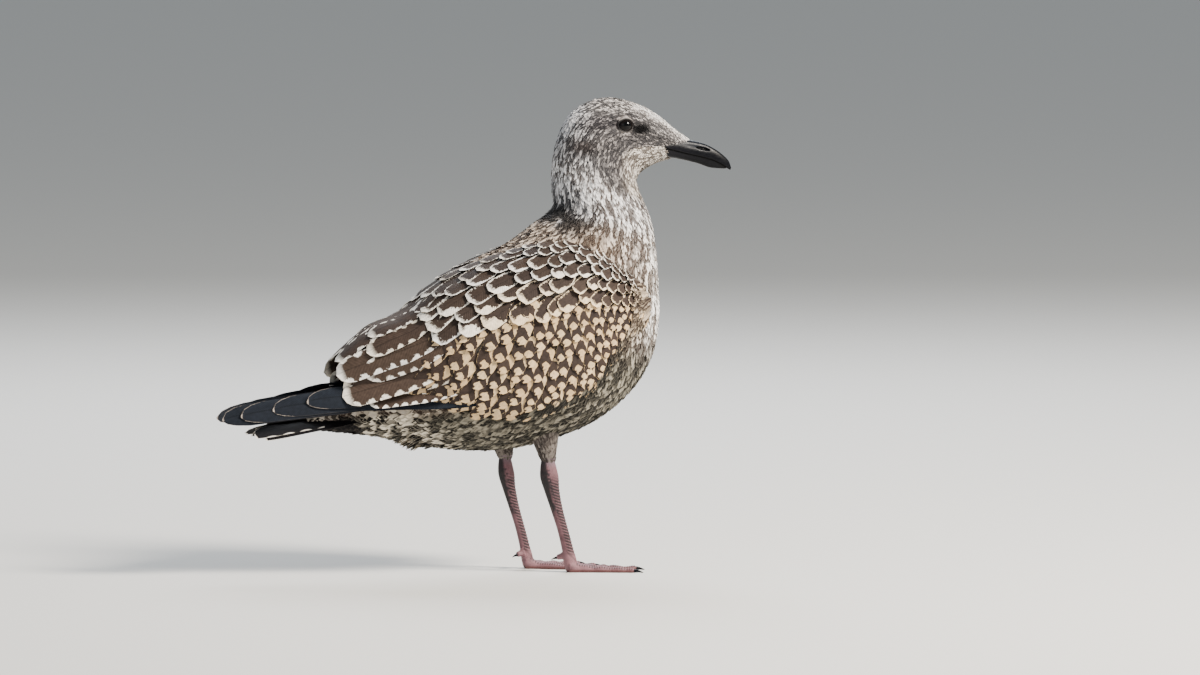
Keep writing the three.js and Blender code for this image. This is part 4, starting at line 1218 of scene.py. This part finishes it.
bodyCoat = {
    # station against the gap between roots, the length and the half width of a feather, in mm
    "gap": [(0, 1.15), (2, 1.25), (5, 1.5), (8, 1.75), (11, 2.2), (14, 2.7), (18, 3), (22, 3.2)],
    "length": [(0, 2.2), (2, 3.4), (5, 5.6), (8, 8.5), (11, 10), (14, 13), (18, 15), (20.5, 13), (22, 11)],
    "width": [(0, 0.5), (3, 0.62), (6, 0.75), (9, 0.95), (11, 1.4), (14, 2.1), (18, 2.6), (22, 3)],
    "softness": [(0, 0.16), (6, 0.14), (10, 0.12), (22, 0.09)],  # how gradually light turns dark
    "loose": [(0, 0.16), (5, 0.14), (22, 0.12)],  # how much of the light and dark is each feather's own
    # share of round blotches against streaks
    "blotches": [(0, 0.1), (6, 0.1), (13, 0.16), (17, 0.3), (18.5, 0.6)],
    # the streaks' noise is that of a tube: its radius in cells, and its cells from one station to the next
    "streaks": [(0, 22), (4, 25), (6.5, 19), (8, 15), (11, 17), (22, 18)],
    "pace": [(0, 2.8), (5, 2.3), (11, 1.9), (22, 2)],
    # narrow lines round the girth that break up the streaks, on the body and on the head
    "lines": (42, 70),
    "patch": 8, "diamond": 5, "wander": 16,  # mm: the blotches and the crossed waves under the tail
    "tufts": {"station": 19.5, "reach": 0.28, "height": (2, 8)},  # loose ends behind the legs, mm
    "lidless": (8.2, 6.3),  # half axes of the oval round the eye that no feather enters
    # where the bare horn starts on the side of the face: height against x
    "hornEdge": [(360, 181), (371.6, 181), (373.9, 180), (381.3, 170.5), (381.9, 172), (382.8, 183),
                 (383.8, 197), (388, 199.5)],
}


def overEye(point):
    x, z = (point[..., 0] / mm - eyeSet["centre"][0]), (point[..., 2] / mm - eyeSet["centre"][2])
    wide, high = bodyCoat["lidless"]
    return ((x / wide) ** 2 + (z / high) ** 2 < 1) & (np.abs(point[..., 1]) > 12 * mm)


def bareHorn(point):
    return point[..., 0] / mm > table(point[..., 2] / mm, bodyCoat["hornEdge"])


shade = {"from": 10, "to": 22, "perStation": 8, "perTurn": 96, "depth": 3}  # stations, cells, mm


def shadedCells():
    # True where the body lies well under the folded wing: the nearest of the wing's own points is above it.
    # A row is a station and a column is a turn, from the belly up the side to the back.
    rows = (shade["to"] - shade["from"]) * shade["perStation"] + 1
    bodyS, bodyT = np.meshgrid(np.linspace(shade["from"], shade["to"], rows),
                               np.linspace(-0.25, 0.25, shade["perTurn"] // 2 + 1), indexing="ij")
    wingS, wingT = np.meshgrid(np.linspace(-0.1, 8.6, 80), np.linspace(0, 0.99, 26), indexing="ij")
    spot = bodyPoint(bodyS, bodyT).reshape(-1, 3)
    cover, normal, _, _ = (a.reshape(-1, 3) for a in slopes(wing, wingS, wingT))
    far = np.sum(spot ** 2, 1)[:, None] + np.sum(cover ** 2, 1)[None] - 2 * spot @ cover.T
    nearest = np.argmin(far, 1)
    depth = np.sum((cover[nearest] - spot) * normal[nearest], 1)
    across, along = wingT.ravel()[nearest], wingS.ravel()[nearest]
    inner = (across > 0.03) & (across < 0.95) & (along > 0.1)
    return ((depth > shade["depth"] * mm) & inner).reshape(bodyS.shape)


shaded = shadedCells()


def underWing(s, t):
    turn = np.mod(t + 0.25, 1) - 0.25
    turn = np.where(turn > 0.25, 0.5 - turn, turn)
    rows, columns = shaded.shape
    i = clamped(np.rint((s - shade["from"]) * shade["perStation"]), 0, rows - 1).astype(int)
    j = clamped(np.rint((turn + 0.25) * shade["perTurn"]), 0, columns - 1).astype(int)
    return shaded[i, j] & (s > shade["from"])


def bodyMarkings(point, s, t, seed, rng):
    # How dark each feather falls, from 0 to 1: streaks that run down the body, round blotches further back,
    # crossed waves under the tail, and a share that is each feather's own.
    turn, radius = t * 2 * np.pi, table(s, bodyCoat["streaks"])
    spot = np.stack([s * table(s, bodyCoat["pace"]), radius * np.cos(turn), radius * np.sin(turn)], -1)
    wavy = 10 * patches(spot * 0.7, 1, seed + 9)
    coarse, fine = (0.5 + 0.5 * np.sin(2 * np.pi * number * t + wavy) for number in bodyCoat["lines"])
    lines = blend(coarse, fine, ease(s, 7, 6))
    streak = blend(patches(spot, 1, seed), lines, 0.55 + 0.07 * ease(s, 8.5, 10))
    u, v = point[:, 0], np.abs(point[:, 1]) + point[:, 2]
    wander = 2.4 * patches(point, bodyCoat["wander"] * mm, seed + 3)
    first, second = (np.sin(way / (bodyCoat["diamond"] * mm) + wander) for way in (u + v, u - v))
    blotch = patches(point, bodyCoat["patch"] * mm, seed + 5)
    blotch = blend(blotch, 0.5 + 0.5 * first * second, ease(s, 17.8, 18.8))
    blotches, loose = (table(s, bodyCoat[key]) for key in ("blotches", "loose"))
    return loose * rng.random(len(s)) + (1 - loose - blotches) * streak + blotches * blotch


def looseFeathers(s, t, size, tones, rng, swing, lift, fluff=None):
    # Soft feathers, each a blend of a light and a dark tone by how dark its marking is, and a little off in
    # tone, heading, height and tilt. fluff raises some of them further.
    length, halfWidth = size
    light, dark, deep = tones
    count = len(s)
    tone = rng.uniform(0.88, 1.1, (count, 1))
    ground = blend(light, dark, deep) * tone
    rim = blend(ground, light * tone, 0.25)
    f = filled({"s": s, "t": t, "length": length, "halfWidth": halfWidth, "thickness": 0.2 * mm}, count)
    f["turn"] = rng.normal(0, swing, count)
    f["lift"] = length * rng.uniform(0.02, 0.09, count) + lift * mm
    if fluff is not None:
        f["lift"] = f["lift"] + fluff * rng.uniform(*bodyCoat["tufts"]["height"], count) * mm
    f["tilt"] = rng.normal(0, 0.12, count) * halfWidth
    f["ground"] = np.concatenate([ground, np.zeros((count, 1))], 1)
    f["rim"] = np.concatenate([rim, np.full((count, 1), 0.3)], 1)
    return f


def makeBodyTract(name, sRange, seed, slot):
    # Loose feathers over one length of the body, in its zones' colours. Those that would reach over the eye
    # are shorter, and none stands on the eye, on bare horn or well under the wing.
    s, t, rng = scattered(body, sRange, (0, 1), lambda a, b: table(a, bodyCoat["gap"]) * mm, seed)
    point, _, along, _ = slopes(body, s, t)
    length = table(s, bodyCoat["length"]) * mm * rng.uniform(0.8, 1.2, len(s))
    lie = unit(along)
    share = np.zeros(len(s))
    for shorter in (0.3, 0.45, 0.7, 1):
        share = np.where(overEye(point + lie * (length * shorter)[:, None]), share, shorter)
    reach = s + length / np.linalg.norm(along, axis=-1)
    mask = ~overEye(point) & (share > 0) & ~bareHorn(point) & ~(underWing(s, t) & underWing(reach, t))
    s, t, point, lie, length = (a[mask] for a in (s, t, point, lie, length * share))
    halfWidth = table(s, bodyCoat["width"]) * mm * rng.uniform(0.8, 1.2, len(s))
    light, dark, share = bodyPlumage(point + lie * (0.6 * length)[:, None], s, t)
    grain = bodyMarkings(point, s, t, seed, rng)
    wide = table(s, bodyCoat["softness"])
    deep = ease(grain, share + wide, share - wide)[:, None]
    tufts = bodyCoat["tufts"]
    fluff = np.exp(-((s - tufts["station"]) / tufts["reach"]) ** 2)
    fluff = fluff * ease(np.sin(t * 2 * np.pi), -0.45, -0.75)
    f = looseFeathers(s, t, (length, halfWidth), (light, dark, deep), rng, 0.12, 0.2, fluff)
    f["rootDepth"] = length * 0.14
    f["bake"] = np.stack([(s - sRange[0]) / (sRange[1] - sRange[0]), t % 1], -1)
    tractPiece(name, body, f, smallMesh, downMaterial, slot)


makeBodyTract("headFeathers", (-0.2, 5.4), 11, "head_plumage")
makeBodyTract("napeFeathers", (5.4, 8.4), 15, "head_plumage")
makeBodyTract("neckFeathers", (8.4, 11), 12, "head_plumage")
makeBodyTract("breastFeathers", (11, 15), 13, "body_plumage")
makeBodyTract("bellyFeathers", (15, 22), 14, "belly_plumage")


def softTract(name, surface, look, zones, seed, mirrored, keep=None):
    # loose feathers over a small surface of its own, such as a thigh, from its upper zone's colours to its
    # lower zone's
    (sLow, sHigh), (tLow, tHigh) = look["range"]
    s, t, rng = scattered(surface, *look["range"], lambda a, b: np.full(np.shape(a), look["gap"] * mm), seed)
    if keep is not None:
        mask = keep(s, t)
        s, t = s[mask], t[mask]
    size = [part * mm * rng.uniform(0.8, 1.2, len(s)) for part in look["size"]]
    upper, lower = ((linear(light), linear(dark), share) for light, dark, share in zones)
    down = ease(t, 0.5, 0.85)[:, None]
    light, dark, share = (blend(high, low, down) for high, low in zip(upper, lower))
    grain = 0.5 * rng.random(len(s)) + 0.5 * patches(surface["place"](s, t), 6 * mm, seed)
    deep = ease(grain[:, None], share + 0.15, share - 0.15)
    f = looseFeathers(s, t, size, (light, dark, deep), rng, 0.15, look["lift"])
    f["turn"] = f["turn"] + look["turn"]
    f["rootDepth"] = f["length"] * 0.1 - look["lift"] * mm
    f["bake"] = np.stack([clamped((s - sLow) / (sHigh - sLow)), (t - tLow) / (tHigh - tLow)], -1)
    tractPiece(name, surface, f, smallMesh, downMaterial, "belly_plumage", mirrored=mirrored)


# loose feathers of the breast's sides and the thighs: station and share ranges, and sizes in mm
apron = {
    "range": ((-0.3, 3.2), (0.3, 1.04)), "gap": 1.9, "size": (10, 1.5), "lift": 1.2, "turn": 0.55,
    # they cover the wing's front and lower edge: share across the wing at each station
    "edge": [(-0.2, 0.4), (0, 0.46), (0.38, 0.65), (0.83, 0.72), (1.03, 0.93), (1.6, 0.955), (2.12, 0.9),
             (2.65, 0.95), (3.2, 1.05)],
    "front": 0.28,
}
thighCoat = {"range": ((0.2, 0.96), (0, 1)), "gap": 1.8, "size": (6.5, 1.1), "lift": 0.6, "turn": 0.0}


def keepApron(s, t):
    return (t > table(s, apron["edge"])) | (s < apron["front"] * ease(t, 0.2, 0.6))


def thighSurface(ankleX):
    # the feathered cone from the belly down to the bare leg, s down it and t round it
    top, bottom = leg["thigh"]["top"], leg["thigh"]["bottom"]

    def place(s, t):
        s, t = np.broadcast_arrays(s, t)
        share = np.maximum(s, 0.02) ** 0.85
        angle = t * 2 * np.pi
        x = ankleX + blend(top[0], bottom[0], s) + blend(top[2], bottom[2], share) * np.cos(angle)
        y = blend(top[3], bottom[3], share) * np.sin(angle) - leg["halfStance"]
        return np.stack([x, y, blend(top[1], bottom[1], s)], -1) * mm
    return {"place": place, "out": -1}


# the apron fades down into the flank's colours, which hold painted shade
for sideName, ankleX, _, isLeft in leg["sides"]:
    softTract("apronFeathers_" + sideName, wing, apron, (plumage["breastSide"], plumage["flank"]),
              81 + isLeft, isLeft, keepApron)
    softTract("thighFeathers_" + sideName, thighSurface(ankleX), thighCoat,
              (plumage["thigh"], plumage["thigh"]), 85 + isLeft, isLeft)
print("body coat done")


# ---- the wing's feathers ----
coverts = {
    # station on the wing against a share across it, an angle in degrees or a size in mm
    "upperEdge": [(0, 0.45), (0.85, 0.47), (1.78, 0.43), (2.33, 0.44), (2.83, 0.42), (3.35, 0.4), (4.42, 0.4),
                  (5.38, 0.3), (6.2, 0.07)],
    "rows": 9,
    "turn": [(0, 72), (1, 66), (3, 52), (5, 34), (6.3, 20)],
    "apart": [(0, 6.4), (1, 7.6), (3, 9.6), (5, 12.5), (6.3, 14)],
    "length": [(0, 15), (1, 20), (3, 26), (5, 33), (6.3, 38)],
    "halfWidth": [(0, 4), (1, 4.8), (3, 6), (5, 8.2), (6.3, 9)],
    # the pale notches: half widths from one to the next, how deep they are, and the first one's place
    "notches": [(0, 2.5), (3, 2.35), (4.2, 1.9), (5, 1.5), (6.3, 1.3)],
    "notchDepth": [(0, 1.32), (3, 1.42), (5, 1.25), (6.3, 0.95)],
    "firstNotch": [(0, 0.86), (4, 0.86), (6, 0.55)],
    "fringe": 0.03,
    "ground": ["#372d28", "#43362f", "#2b2421"],
    "rim": ["#d3b285", "#c6a67c", "#e2c8a0"],
}
scapulars = {
    "rows": 6,
    "turn": [(0, 32), (2, 26), (4, 16), (6, 8)],
    "apart": [(0, 8), (1, 10), (3, 17), (5, 25), (6.3, 30)],
    "length": [(0, 14), (1, 18), (3, 30), (5, 42), (6.3, 50)],
    "halfWidth": [(0, 4.5), (1, 5.5), (3, 8.5), (5, 11), (6.3, 12)],
    "ground": ["#3a302b", "#46392f", "#2e2623"],
    "rim": ["#fffaf2", "#fffdf9", "#f4e6cf"], "buff": "#ecd3ad",
    "notches": 3.1, "firstNotch": 0.95,
}


def hexMix(colours, weights):
    # rows of weights from 0 to 1 as one colour between the first and the others
    mixed = np.broadcast_to(linear(colours[0]), weights.shape[:1] + (3,))
    for other, weight in zip(colours[1:], weights.T):
        mixed = blend(mixed, linear(other), weight[:, None])
    return mixed


def rowOfRoots(across, apart, start, stop, rng):
    # stations along one row: steps of apart over the local length of a station, each a little off
    stations = np.linspace(start, stop, 400)
    _, _, along, _ = slopes(wing, stations, across(stations))
    pace = np.linalg.norm(along, axis=-1) / apart(stations)
    count = np.concatenate([[0], np.cumsum((pace[1:] + pace[:-1]) / 2 * np.diff(stations))])
    wanted = np.arange(rng.uniform(0, 1), count[-1], 1.0)
    wanted = wanted + rng.normal(0, 0.08, len(wanted))
    return np.interp(wanted, count, stations)


def rowsOfRoots(downs, across, apart, start, stop, rng):
    # rows one under the other: across gives a row's place across the wing at a station, from how far down
    # the row is
    stations, shares = [], []
    for down in downs:
        found = rowOfRoots(lambda a: across(a, down), apart, start, stop(down), rng)
        stations.append(found)
        shares.append(across(found, down) + rng.normal(0, 0.006, len(found)))
    return np.concatenate(stations), np.concatenate(shares)


def dressed(f, look, rng, fringe, notchDepth, pace, tone=0.07):
    # the colours and markings of a tract's feathers: fringe and notchDepth are shares of the half width
    count = len(f["s"])
    shade = rng.uniform(1 - tone, 1 + tone, (count, 1))
    ground = hexMix(look["ground"], rng.random((count, 2)) * 0.7) * shade
    rim = hexMix(look["rim"], rng.random((count, 2)) * 0.6) * shade
    f["ground"] = np.concatenate([ground, np.broadcast_to(notchDepth, (count,))[:, None]], 1)
    f["rim"] = np.concatenate([rim, np.broadcast_to(fringe, (count,))[:, None]], 1)
    f["bars"] = np.broadcast_to(pace, (count,)).astype(float)
    f["phase"] = rng.normal(0, 0.25, count)
    f["bake"] = np.stack([clamped((f["s"] + 0.3) / 8.8), clamped(f["t"] * 0.9 + 0.06)], -1)


def makeCoverts(side, mirrored, seed):
    # rows of short feathers that point down and back; each covers the roots of the row behind it
    rng = np.random.default_rng(seed)

    def across(a, down):
        return blend(table(a, coverts["upperEdge"]) - 0.05, 0.84, down)

    def apart(a):
        return table(a, coverts["apart"]) * mm / np.sin(np.radians(table(a, coverts["turn"])))

    def stop(down):
        return 5.4 + 0.7 * ease(down, 0.35, 0.6)
    s, t = rowsOfRoots(np.arange(coverts["rows"]) / (coverts["rows"] - 1), across, apart, -0.2, stop, rng)
    order = np.argsort(s)
    s, t, count = s[order], t[order], len(s)
    size = rng.uniform(0.92, 1.08, count)
    f = filled({
        "s": s, "t": t, "length": table(s, coverts["length"]) * mm * size,
        "halfWidth": table(s, coverts["halfWidth"]) * mm * size, "lift": 0.9 * mm, "rootDepth": 2.4 * mm,
        "turn": np.radians(table(s, coverts["turn"]) + rng.normal(0, 5, count)), "tilt": 0.45 * mm,
        "roundness": 1.5,
    }, count)
    pace = 2 * np.pi / (table(s, coverts["notches"]) * rng.uniform(0.92, 1.08, count))
    depth = rng.uniform(0.92, 1.08, count) * table(s, coverts["notchDepth"])
    dressed(f, coverts, rng, coverts["fringe"], depth, pace)
    f["phase"] = f["phase"] - pace * table(s, coverts["firstNotch"])
    tractPiece("covertFeathers_" + side, wing, f, largeMesh, notchedMaterial, "wing_plumage", 0.02, mirrored)


def makeScapulars(side, mirrored, seed):
    # rows of broad dark feathers with pale fringes over the shoulder, larger to the rear
    rng = np.random.default_rng(seed)

    def across(a, down):
        return table(a, coverts["upperEdge"]) * down

    def apart(a):
        return table(a, scapulars["apart"]) * mm
    downs = (np.arange(scapulars["rows"]) + 0.1) / (scapulars["rows"] - 0.35)
    s, t = rowsOfRoots(downs, across, apart, -0.3, lambda down: 5.0, rng)
    count = len(s)
    size = rng.uniform(0.85, 1.12, count)
    down = t / table(s, coverts["upperEdge"])
    low = ease(down, 0, 0.6)
    f = filled({
        "s": s, "t": t, "length": table(s, scapulars["length"]) * mm * size,
        "halfWidth": table(s, scapulars["halfWidth"]) * mm * size, "lift": (0.7 + 1.5 * low) * mm,
        "turn": np.radians(table(s, scapulars["turn"]) + rng.normal(0, 6, count)), "rootDepth": 2 * mm,
        "tilt": (0.2 + 0.6 * low) * mm, "roundness": rng.uniform(0.55, 0.9, count),
    }, count)
    fringe = (rng.uniform(0.13, 0.28, count) + 0.12 * ease(s, 4.2, 5)) * (0.6 + 0.4 * ease(s, 0, 1.2))
    fringe = fringe * (0.9 + 0.15 * low)
    spotDepth = rng.uniform(0, 1.25, count) * low ** 2 * ease(s, 0.5, 1.5) * ease(s, 5, 4.4)
    pace = 2 * np.pi / scapulars["notches"]
    dressed(f, scapulars, rng, fringe, spotDepth, pace)
    f["phase"] = f["phase"] - pace * scapulars["firstNotch"]
    buff = ease(down, 0.5, 0.85) * ease(s, 4.4, 3)
    f["rim"][:, :3] = blend(f["rim"][:, :3], linear(scapulars["buff"]), buff[:, None])
    tractPiece("scapularFeathers_" + side, wing, f, largeMesh, fringedMaterial, "wing_plumage", 0.03,
               mirrored)


tertialFan = {
    # root and tip as station and share across the wing, half width and how high it lies, in mm; lowest first
    "feathers": [
        ((5.3, 0.92), (7.72, 0.98), 8.5, -1.6), ((5.3, 0.78), (7.85, 0.9), 9.5, -1.1),
        ((5.2, 0.62), (8.0, 0.68), 12.5, -0.5), ((5.2, 0.36), (8.15, 0.42), 13, -0.3),
        ((5.3, 0.02), (7.85, 0.02), 9, -1.2),
        ((5.2, 0.42), (7.5, 0.5), 12, 0.1), ((5.3, 0.1), (8.12, 0.15), 13, 0.2),
        ((5.2, 0.24), (7.35, 0.3), 11.5, 0.7), ((5.2, 0.12), (7.22, 0.16), 11, 1.1),
    ],
    # root, tip and half width of two more that lie straight on the primaries, as x, y and z in mm
    "low": [((-30, -62, 170), (-110, -38.5, 159), 9), ((-44, -59, 190), (-132, -33, 163), 13.5)],
    "ground": ["#43362f", "#4f4137", "#362c27"],
    "rim": ["#fff9ef", "#fffdf8", "#efe0c6"],
    "fringe": 0.22, "notchDepth": (0.3, 0.42), "notches": 0.98,
}


def dressedTertials(f, count, rng):
    pace = 2 * np.pi / tertialFan["notches"]
    dressed(f, tertialFan, rng, tertialFan["fringe"], rng.uniform(*tertialFan["notchDepth"], count), pace)


def makeTertials(side, mirrored, seed):
    # long broad feathers over the folded wing's end, each higher one on top of the next
    rng = np.random.default_rng(seed)
    rows = tertialFan["feathers"]
    count = len(rows)
    s, t = (np.array([row[0][k] for row in rows]) for k in (0, 1))
    tipS, tipT = (np.array([row[1][k] for row in rows]) + rng.normal(0, 0.008, count) for k in (0, 1))
    lift = np.array([row[3] for row in rows]) * mm
    f = filled({
        "s": s, "t": t, "tipS": tipS, "tipT": tipT, "halfWidth": np.array([row[2] for row in rows]) * mm,
        "length": np.linalg.norm(wingPoint(tipS, tipT) - wingPoint(s, t), axis=-1),
        "lift": lift, "rootDepth": 0.3 * mm - lift, "tilt": 0.7 * mm, "roundness": 1.25, "curve": 45 * mm,
    }, count)
    dressedTertials(f, count, rng)
    piece = tractPiece("tertialFeathers_" + side, wing, f, flightMesh, spottedMaterial, "flight_feather",
                       0.09, mirrored)
    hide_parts("tertials_" + side)


def leaning(angle):
    # the up direction of vanes that lean outwards by an angle
    return np.array([0, -math.sin(angle), math.cos(angle)])


def straightVanes(root, tip, up, values):
    # vanes on straight shafts: up is squared to each shaft, and acrossWay stands square to both
    count = len(root)
    f = filled({"root": root, "tip": tip, "s": np.linspace(0, 8, count), "t": np.linspace(0, 0.9, count),
                **values}, count)
    heading = unit(tip - root)
    f["up"] = unit(up - heading * np.sum(heading * up, -1, keepdims=True))
    f["acrossWay"] = np.cross(f["up"], heading)
    return f


def layStraight(f, rows, columns):
    # vanes from a root to a tip: each row lies across the shaft along f acrossWay and is raised along f up,
    # with a shallow bow along the shaft and the same tilt and droop as any vane; skew moves a narrowing end
    # towards one edge
    width = vaneWidths(f, rows) * f["halfWidth"][:, None]
    v = rows[None, :, None]
    shaft = blend(f["root"][:, None], f["tip"][:, None], v)
    shaft = shaft + f["up"][:, None] * (f["bow"][:, None, None] * 4 * v * (1 - v))
    x = width[:, :, None] * columns[None, None]
    x = x + (f["skew"][:, None] * (f["halfWidth"][:, None] - width) * ease(rows, 0.5, 0.8))[:, :, None]
    height = f["tilt"][:, None, None] * columns[None, None] - x ** 2 / (2 * f["curve"])
    grid = shaft[:, :, None] + f["acrossWay"][:, None, None] * x[..., None]
    grid = grid + f["up"][:, None, None] * height[..., None]
    return grid, np.broadcast_to(f["up"][:, None, None], grid.shape)


def straightPiece(name, f, material, patch, mirrored=False):
    grid, normals = layStraight(f, *flightMesh)
    return featherPiece(name, grid, normals, f, *flightMesh, material, "flight_feather", True, patch,
                        mirrored)


primaryStack = {
    # tips of the bare primaries as x, out and up, then the dark secondaries under the coverts' edge, mm
    "root": (-70, -38, 164),
    "tips": [(-237, 10, 145), (-221, 13.5, 147.5), (-193, 18, 152.5), (-163, 23, 159)],
    "halfWidth": 11.2, "innerHalfWidth": 9.5, "stack": 1.0, "lean": 0.95,
    "secondaries": [((-8, -62, 158), (-112, -28, 157)), ((-20, -59, 158), (-124, -25, 156)),
                    ((-32, -55, 158), (-136, -22, 155)), ((-44, -50, 159), (-146, -19, 154))],
    # ground: dark slate, lifted and turned bluish as painted reflection of the sky
    "ground": ["#1e232b", "#282c35", "#15181e"],
    "rim": ["#bcb0a5", "#d2c8bd", "#8f837a"],
    "innerRim": "#4b4f58", "fringe": 0.1, "innerFringe": 0.09,
}


def makePrimaries(side, mirrored, seed):
    # four bare wing tips and, in front of them, the edges of four secondaries, leaning against the body; each
    # lies a step over the last, and the secondaries half a step
    rng = np.random.default_rng(seed)
    stack = primaryStack
    tips = [(stack["root"], (x, -out, z)) for x, out, z in stack["tips"]]
    ends = np.array(tips + stack["secondaries"]) * mm
    count, bare = len(ends), len(tips)
    isBare = np.arange(count) < bare
    order = np.concatenate([np.arange(bare), bare - 1 + 0.5 * np.arange(1, count - bare + 1)])
    up = leaning(stack["lean"])
    root, tip = (ends[:, k] + up * (stack["stack"] * order * mm)[:, None] for k in (0, 1))
    f = straightVanes(root, tip, up, {
        "length": np.linalg.norm(ends[:, 1] - ends[:, 0], axis=-1),
        "halfWidth": np.where(isBare, stack["halfWidth"], stack["innerHalfWidth"]) * mm,
        "bow": 1.5 * mm, "skew": 0.3, "tilt": -0.5 * mm, "thickness": 0.5 * mm, "curve": 30 * mm,
        "roundness": np.where(isBare, 2.6, 1.4),
    })
    dressed(f, stack, rng, np.where(isBare, stack["fringe"], stack["innerFringe"]), 0.0, 0.0, 0.04)
    f["rim"][bare:, :3] = linear(stack["innerRim"])
    piece = straightPiece("primaryFeathers_" + side, f, flightMaterial, 0.1, mirrored)
    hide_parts("primaries_" + side)


def makeLowTertials(side, mirrored, seed):
    # the lowest tertials lie straight on the primaries and lean as they do, below the curved wing's edge
    rng = np.random.default_rng(seed)
    ends = np.array([row[:2] for row in tertialFan["low"]]) * mm
    f = straightVanes(ends[:, 0], ends[:, 1], leaning(primaryStack["lean"]), {
        "length": np.linalg.norm(ends[:, 1] - ends[:, 0], axis=-1),
        "halfWidth": np.array([row[2] for row in tertialFan["low"]]) * mm,
        "thickness": 0.5 * mm, "curve": 40 * mm, "roundness": 1.25,
    })
    dressedTertials(f, len(ends), rng)
    straightPiece("lowTertialFeathers_" + side, f, spottedMaterial, 0.09, mirrored)


tailFan = {
    "pairs": 6, "root": (-92, 148), "tipX": -211, "tipHeight": 136.6, "rootHalf": 14, "tipHalf": 22,
    "droop": 0.36, "lengths": [(0, 0.87), (0.35, 0.95), (0.6, 1), (0.78, 0.98), (1, 0.9)], "halfWidth": 8.5,
    "ground": ["#0d0c0e", "#151213", "#09080a"],
    "rim": ["#ece4d8", "#d8cbb8", "#f6f1e9"],
    "notches": 1.9,
}


def makeTail(seed):
    # twelve feathers in a shallow roof: the middle pair lies on top and each next one a little lower
    rng = np.random.default_rng(seed)
    fan = tailFan
    side = np.concatenate([[k, -k] for k in (np.arange(fan["pairs"]) + 0.5) / fan["pairs"]])
    out, zero = np.abs(side), np.zeros(len(side))
    rootX, rootZ = fan["root"]
    tipY = side * fan["tipHalf"] * mm
    root = np.stack([zero + rootX * mm, side * fan["rootHalf"] * mm, rootZ * mm - out * 2.5 * mm], -1)
    length = (rootX - fan["tipX"]) * table(out, fan["lengths"]) * mm
    drop = fan["droop"] * np.abs(tipY) + out * 2 * mm
    tip = np.stack([root[:, 0] - length, tipY, fan["tipHeight"] * mm - drop], -1)
    tip = tip + rng.normal(0, 0.8 * mm, (len(side), 3)) * [1, 0.6, 0.3]
    roll = fan["droop"] * (0.7 + 0.7 * out)
    up = np.stack([zero, np.sign(side) * np.sin(roll), np.cos(roll)], -1)
    f = straightVanes(root, tip, up, {
        "length": length, "halfWidth": fan["halfWidth"] * mm, "bow": 1 * mm, "skew": -0.7 * np.sign(side),
        "thickness": 0.4 * mm, "roundness": 2.2,
    })
    fringe = 0.05 + 0.13 * ease(out, 0.5, 0.7)
    notchDepth = 0.22 * ease(out, 0.5, 0.6) * ease(out, 0.9, 0.8)
    dressed(f, fan, rng, fringe, notchDepth, 2 * np.pi / fan["notches"], 0.05)
    piece = straightPiece("tailFeathers", f, tailMaterial, 0.07)
    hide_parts("tail")


for sideName, isLeft in (("right", False), ("left", True)):
    makeCoverts(sideName, isLeft, 31 + isLeft)
    makeScapulars(sideName, isLeft, 41 + isLeft)
    makeTertials(sideName, isLeft, 51 + isLeft)
    makePrimaries(sideName, isLeft, 61 + isLeft)
    makeLowTertials(sideName, isLeft, 81 + isLeft)
makeTail(71)
print("flight feathers done")


clawSet = {"length": 8, "radius": 1.7, "hindLength": 5, "hindRadius": 1.3, "sunk": 1.2, "hook": 0.22,
           "gap": 0.3, "tone": 1.5}  # lengths in mm; tone is against the bill's black


def clawHorn(start, length, radius):
    # a round horn that tapers to a fifth, bends down with the square of its length, and is flat underneath
    along, turn = rings(24, 20)
    share = (along * (length + clawSet["sunk"]) - clawSet["sunk"]) / length
    r = radius * (1 - 0.8 * clamped(share, 0)) * np.sqrt(np.maximum(1 - ease(along, 0.88, 1.08) ** 2, 0.01))
    angle = turn * 2 * np.pi
    z = np.maximum(0, 1.05 * radius - clawSet["hook"] * length * share ** 2 + r * np.sin(angle))
    return np.stack([start + share * length, r * np.cos(angle), z], -1) * mm


def makeClaws(side, ankleX, mirrored):
    # one horn at the end of each toe, in the foot's own place
    names = ("inner", "middle", "outer")
    claws = [(name, turnedZ(clawHorn(length + clawSet["gap"], clawSet["length"], clawSet["radius"]), turn))
             for name, (length, turn, _) in zip(names, toeSet["toes"])]
    horn = clawHorn(toeSet["hind"]["length"] + clawSet["gap"], clawSet["hindLength"], clawSet["hindRadius"])
    claws.append(("hind", hindPlaced(horn)))
    heel = np.array([leg["heelX"] + ankleX, -leg["halfStance"], 0]) * mm
    for name, grid in claws:
        points, faces = closedTube((grid + heel) * [1, -1 if mirrored else 1, 1])
        piece = newPiece("clawHorn_" + name + "_" + side, points, faces, blackHorn, "claw_horn")
        tone = linear(bill["horn"]) * clawSet["tone"]
        paintGround(piece.data, np.broadcast_to(tone, points.shape))
        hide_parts("claw_" + name + "_" + side)


for sideName, ankleX, _, isLeft in leg["sides"]:
    makeClaws(sideName, ankleX, isLeft)
print("claws done")
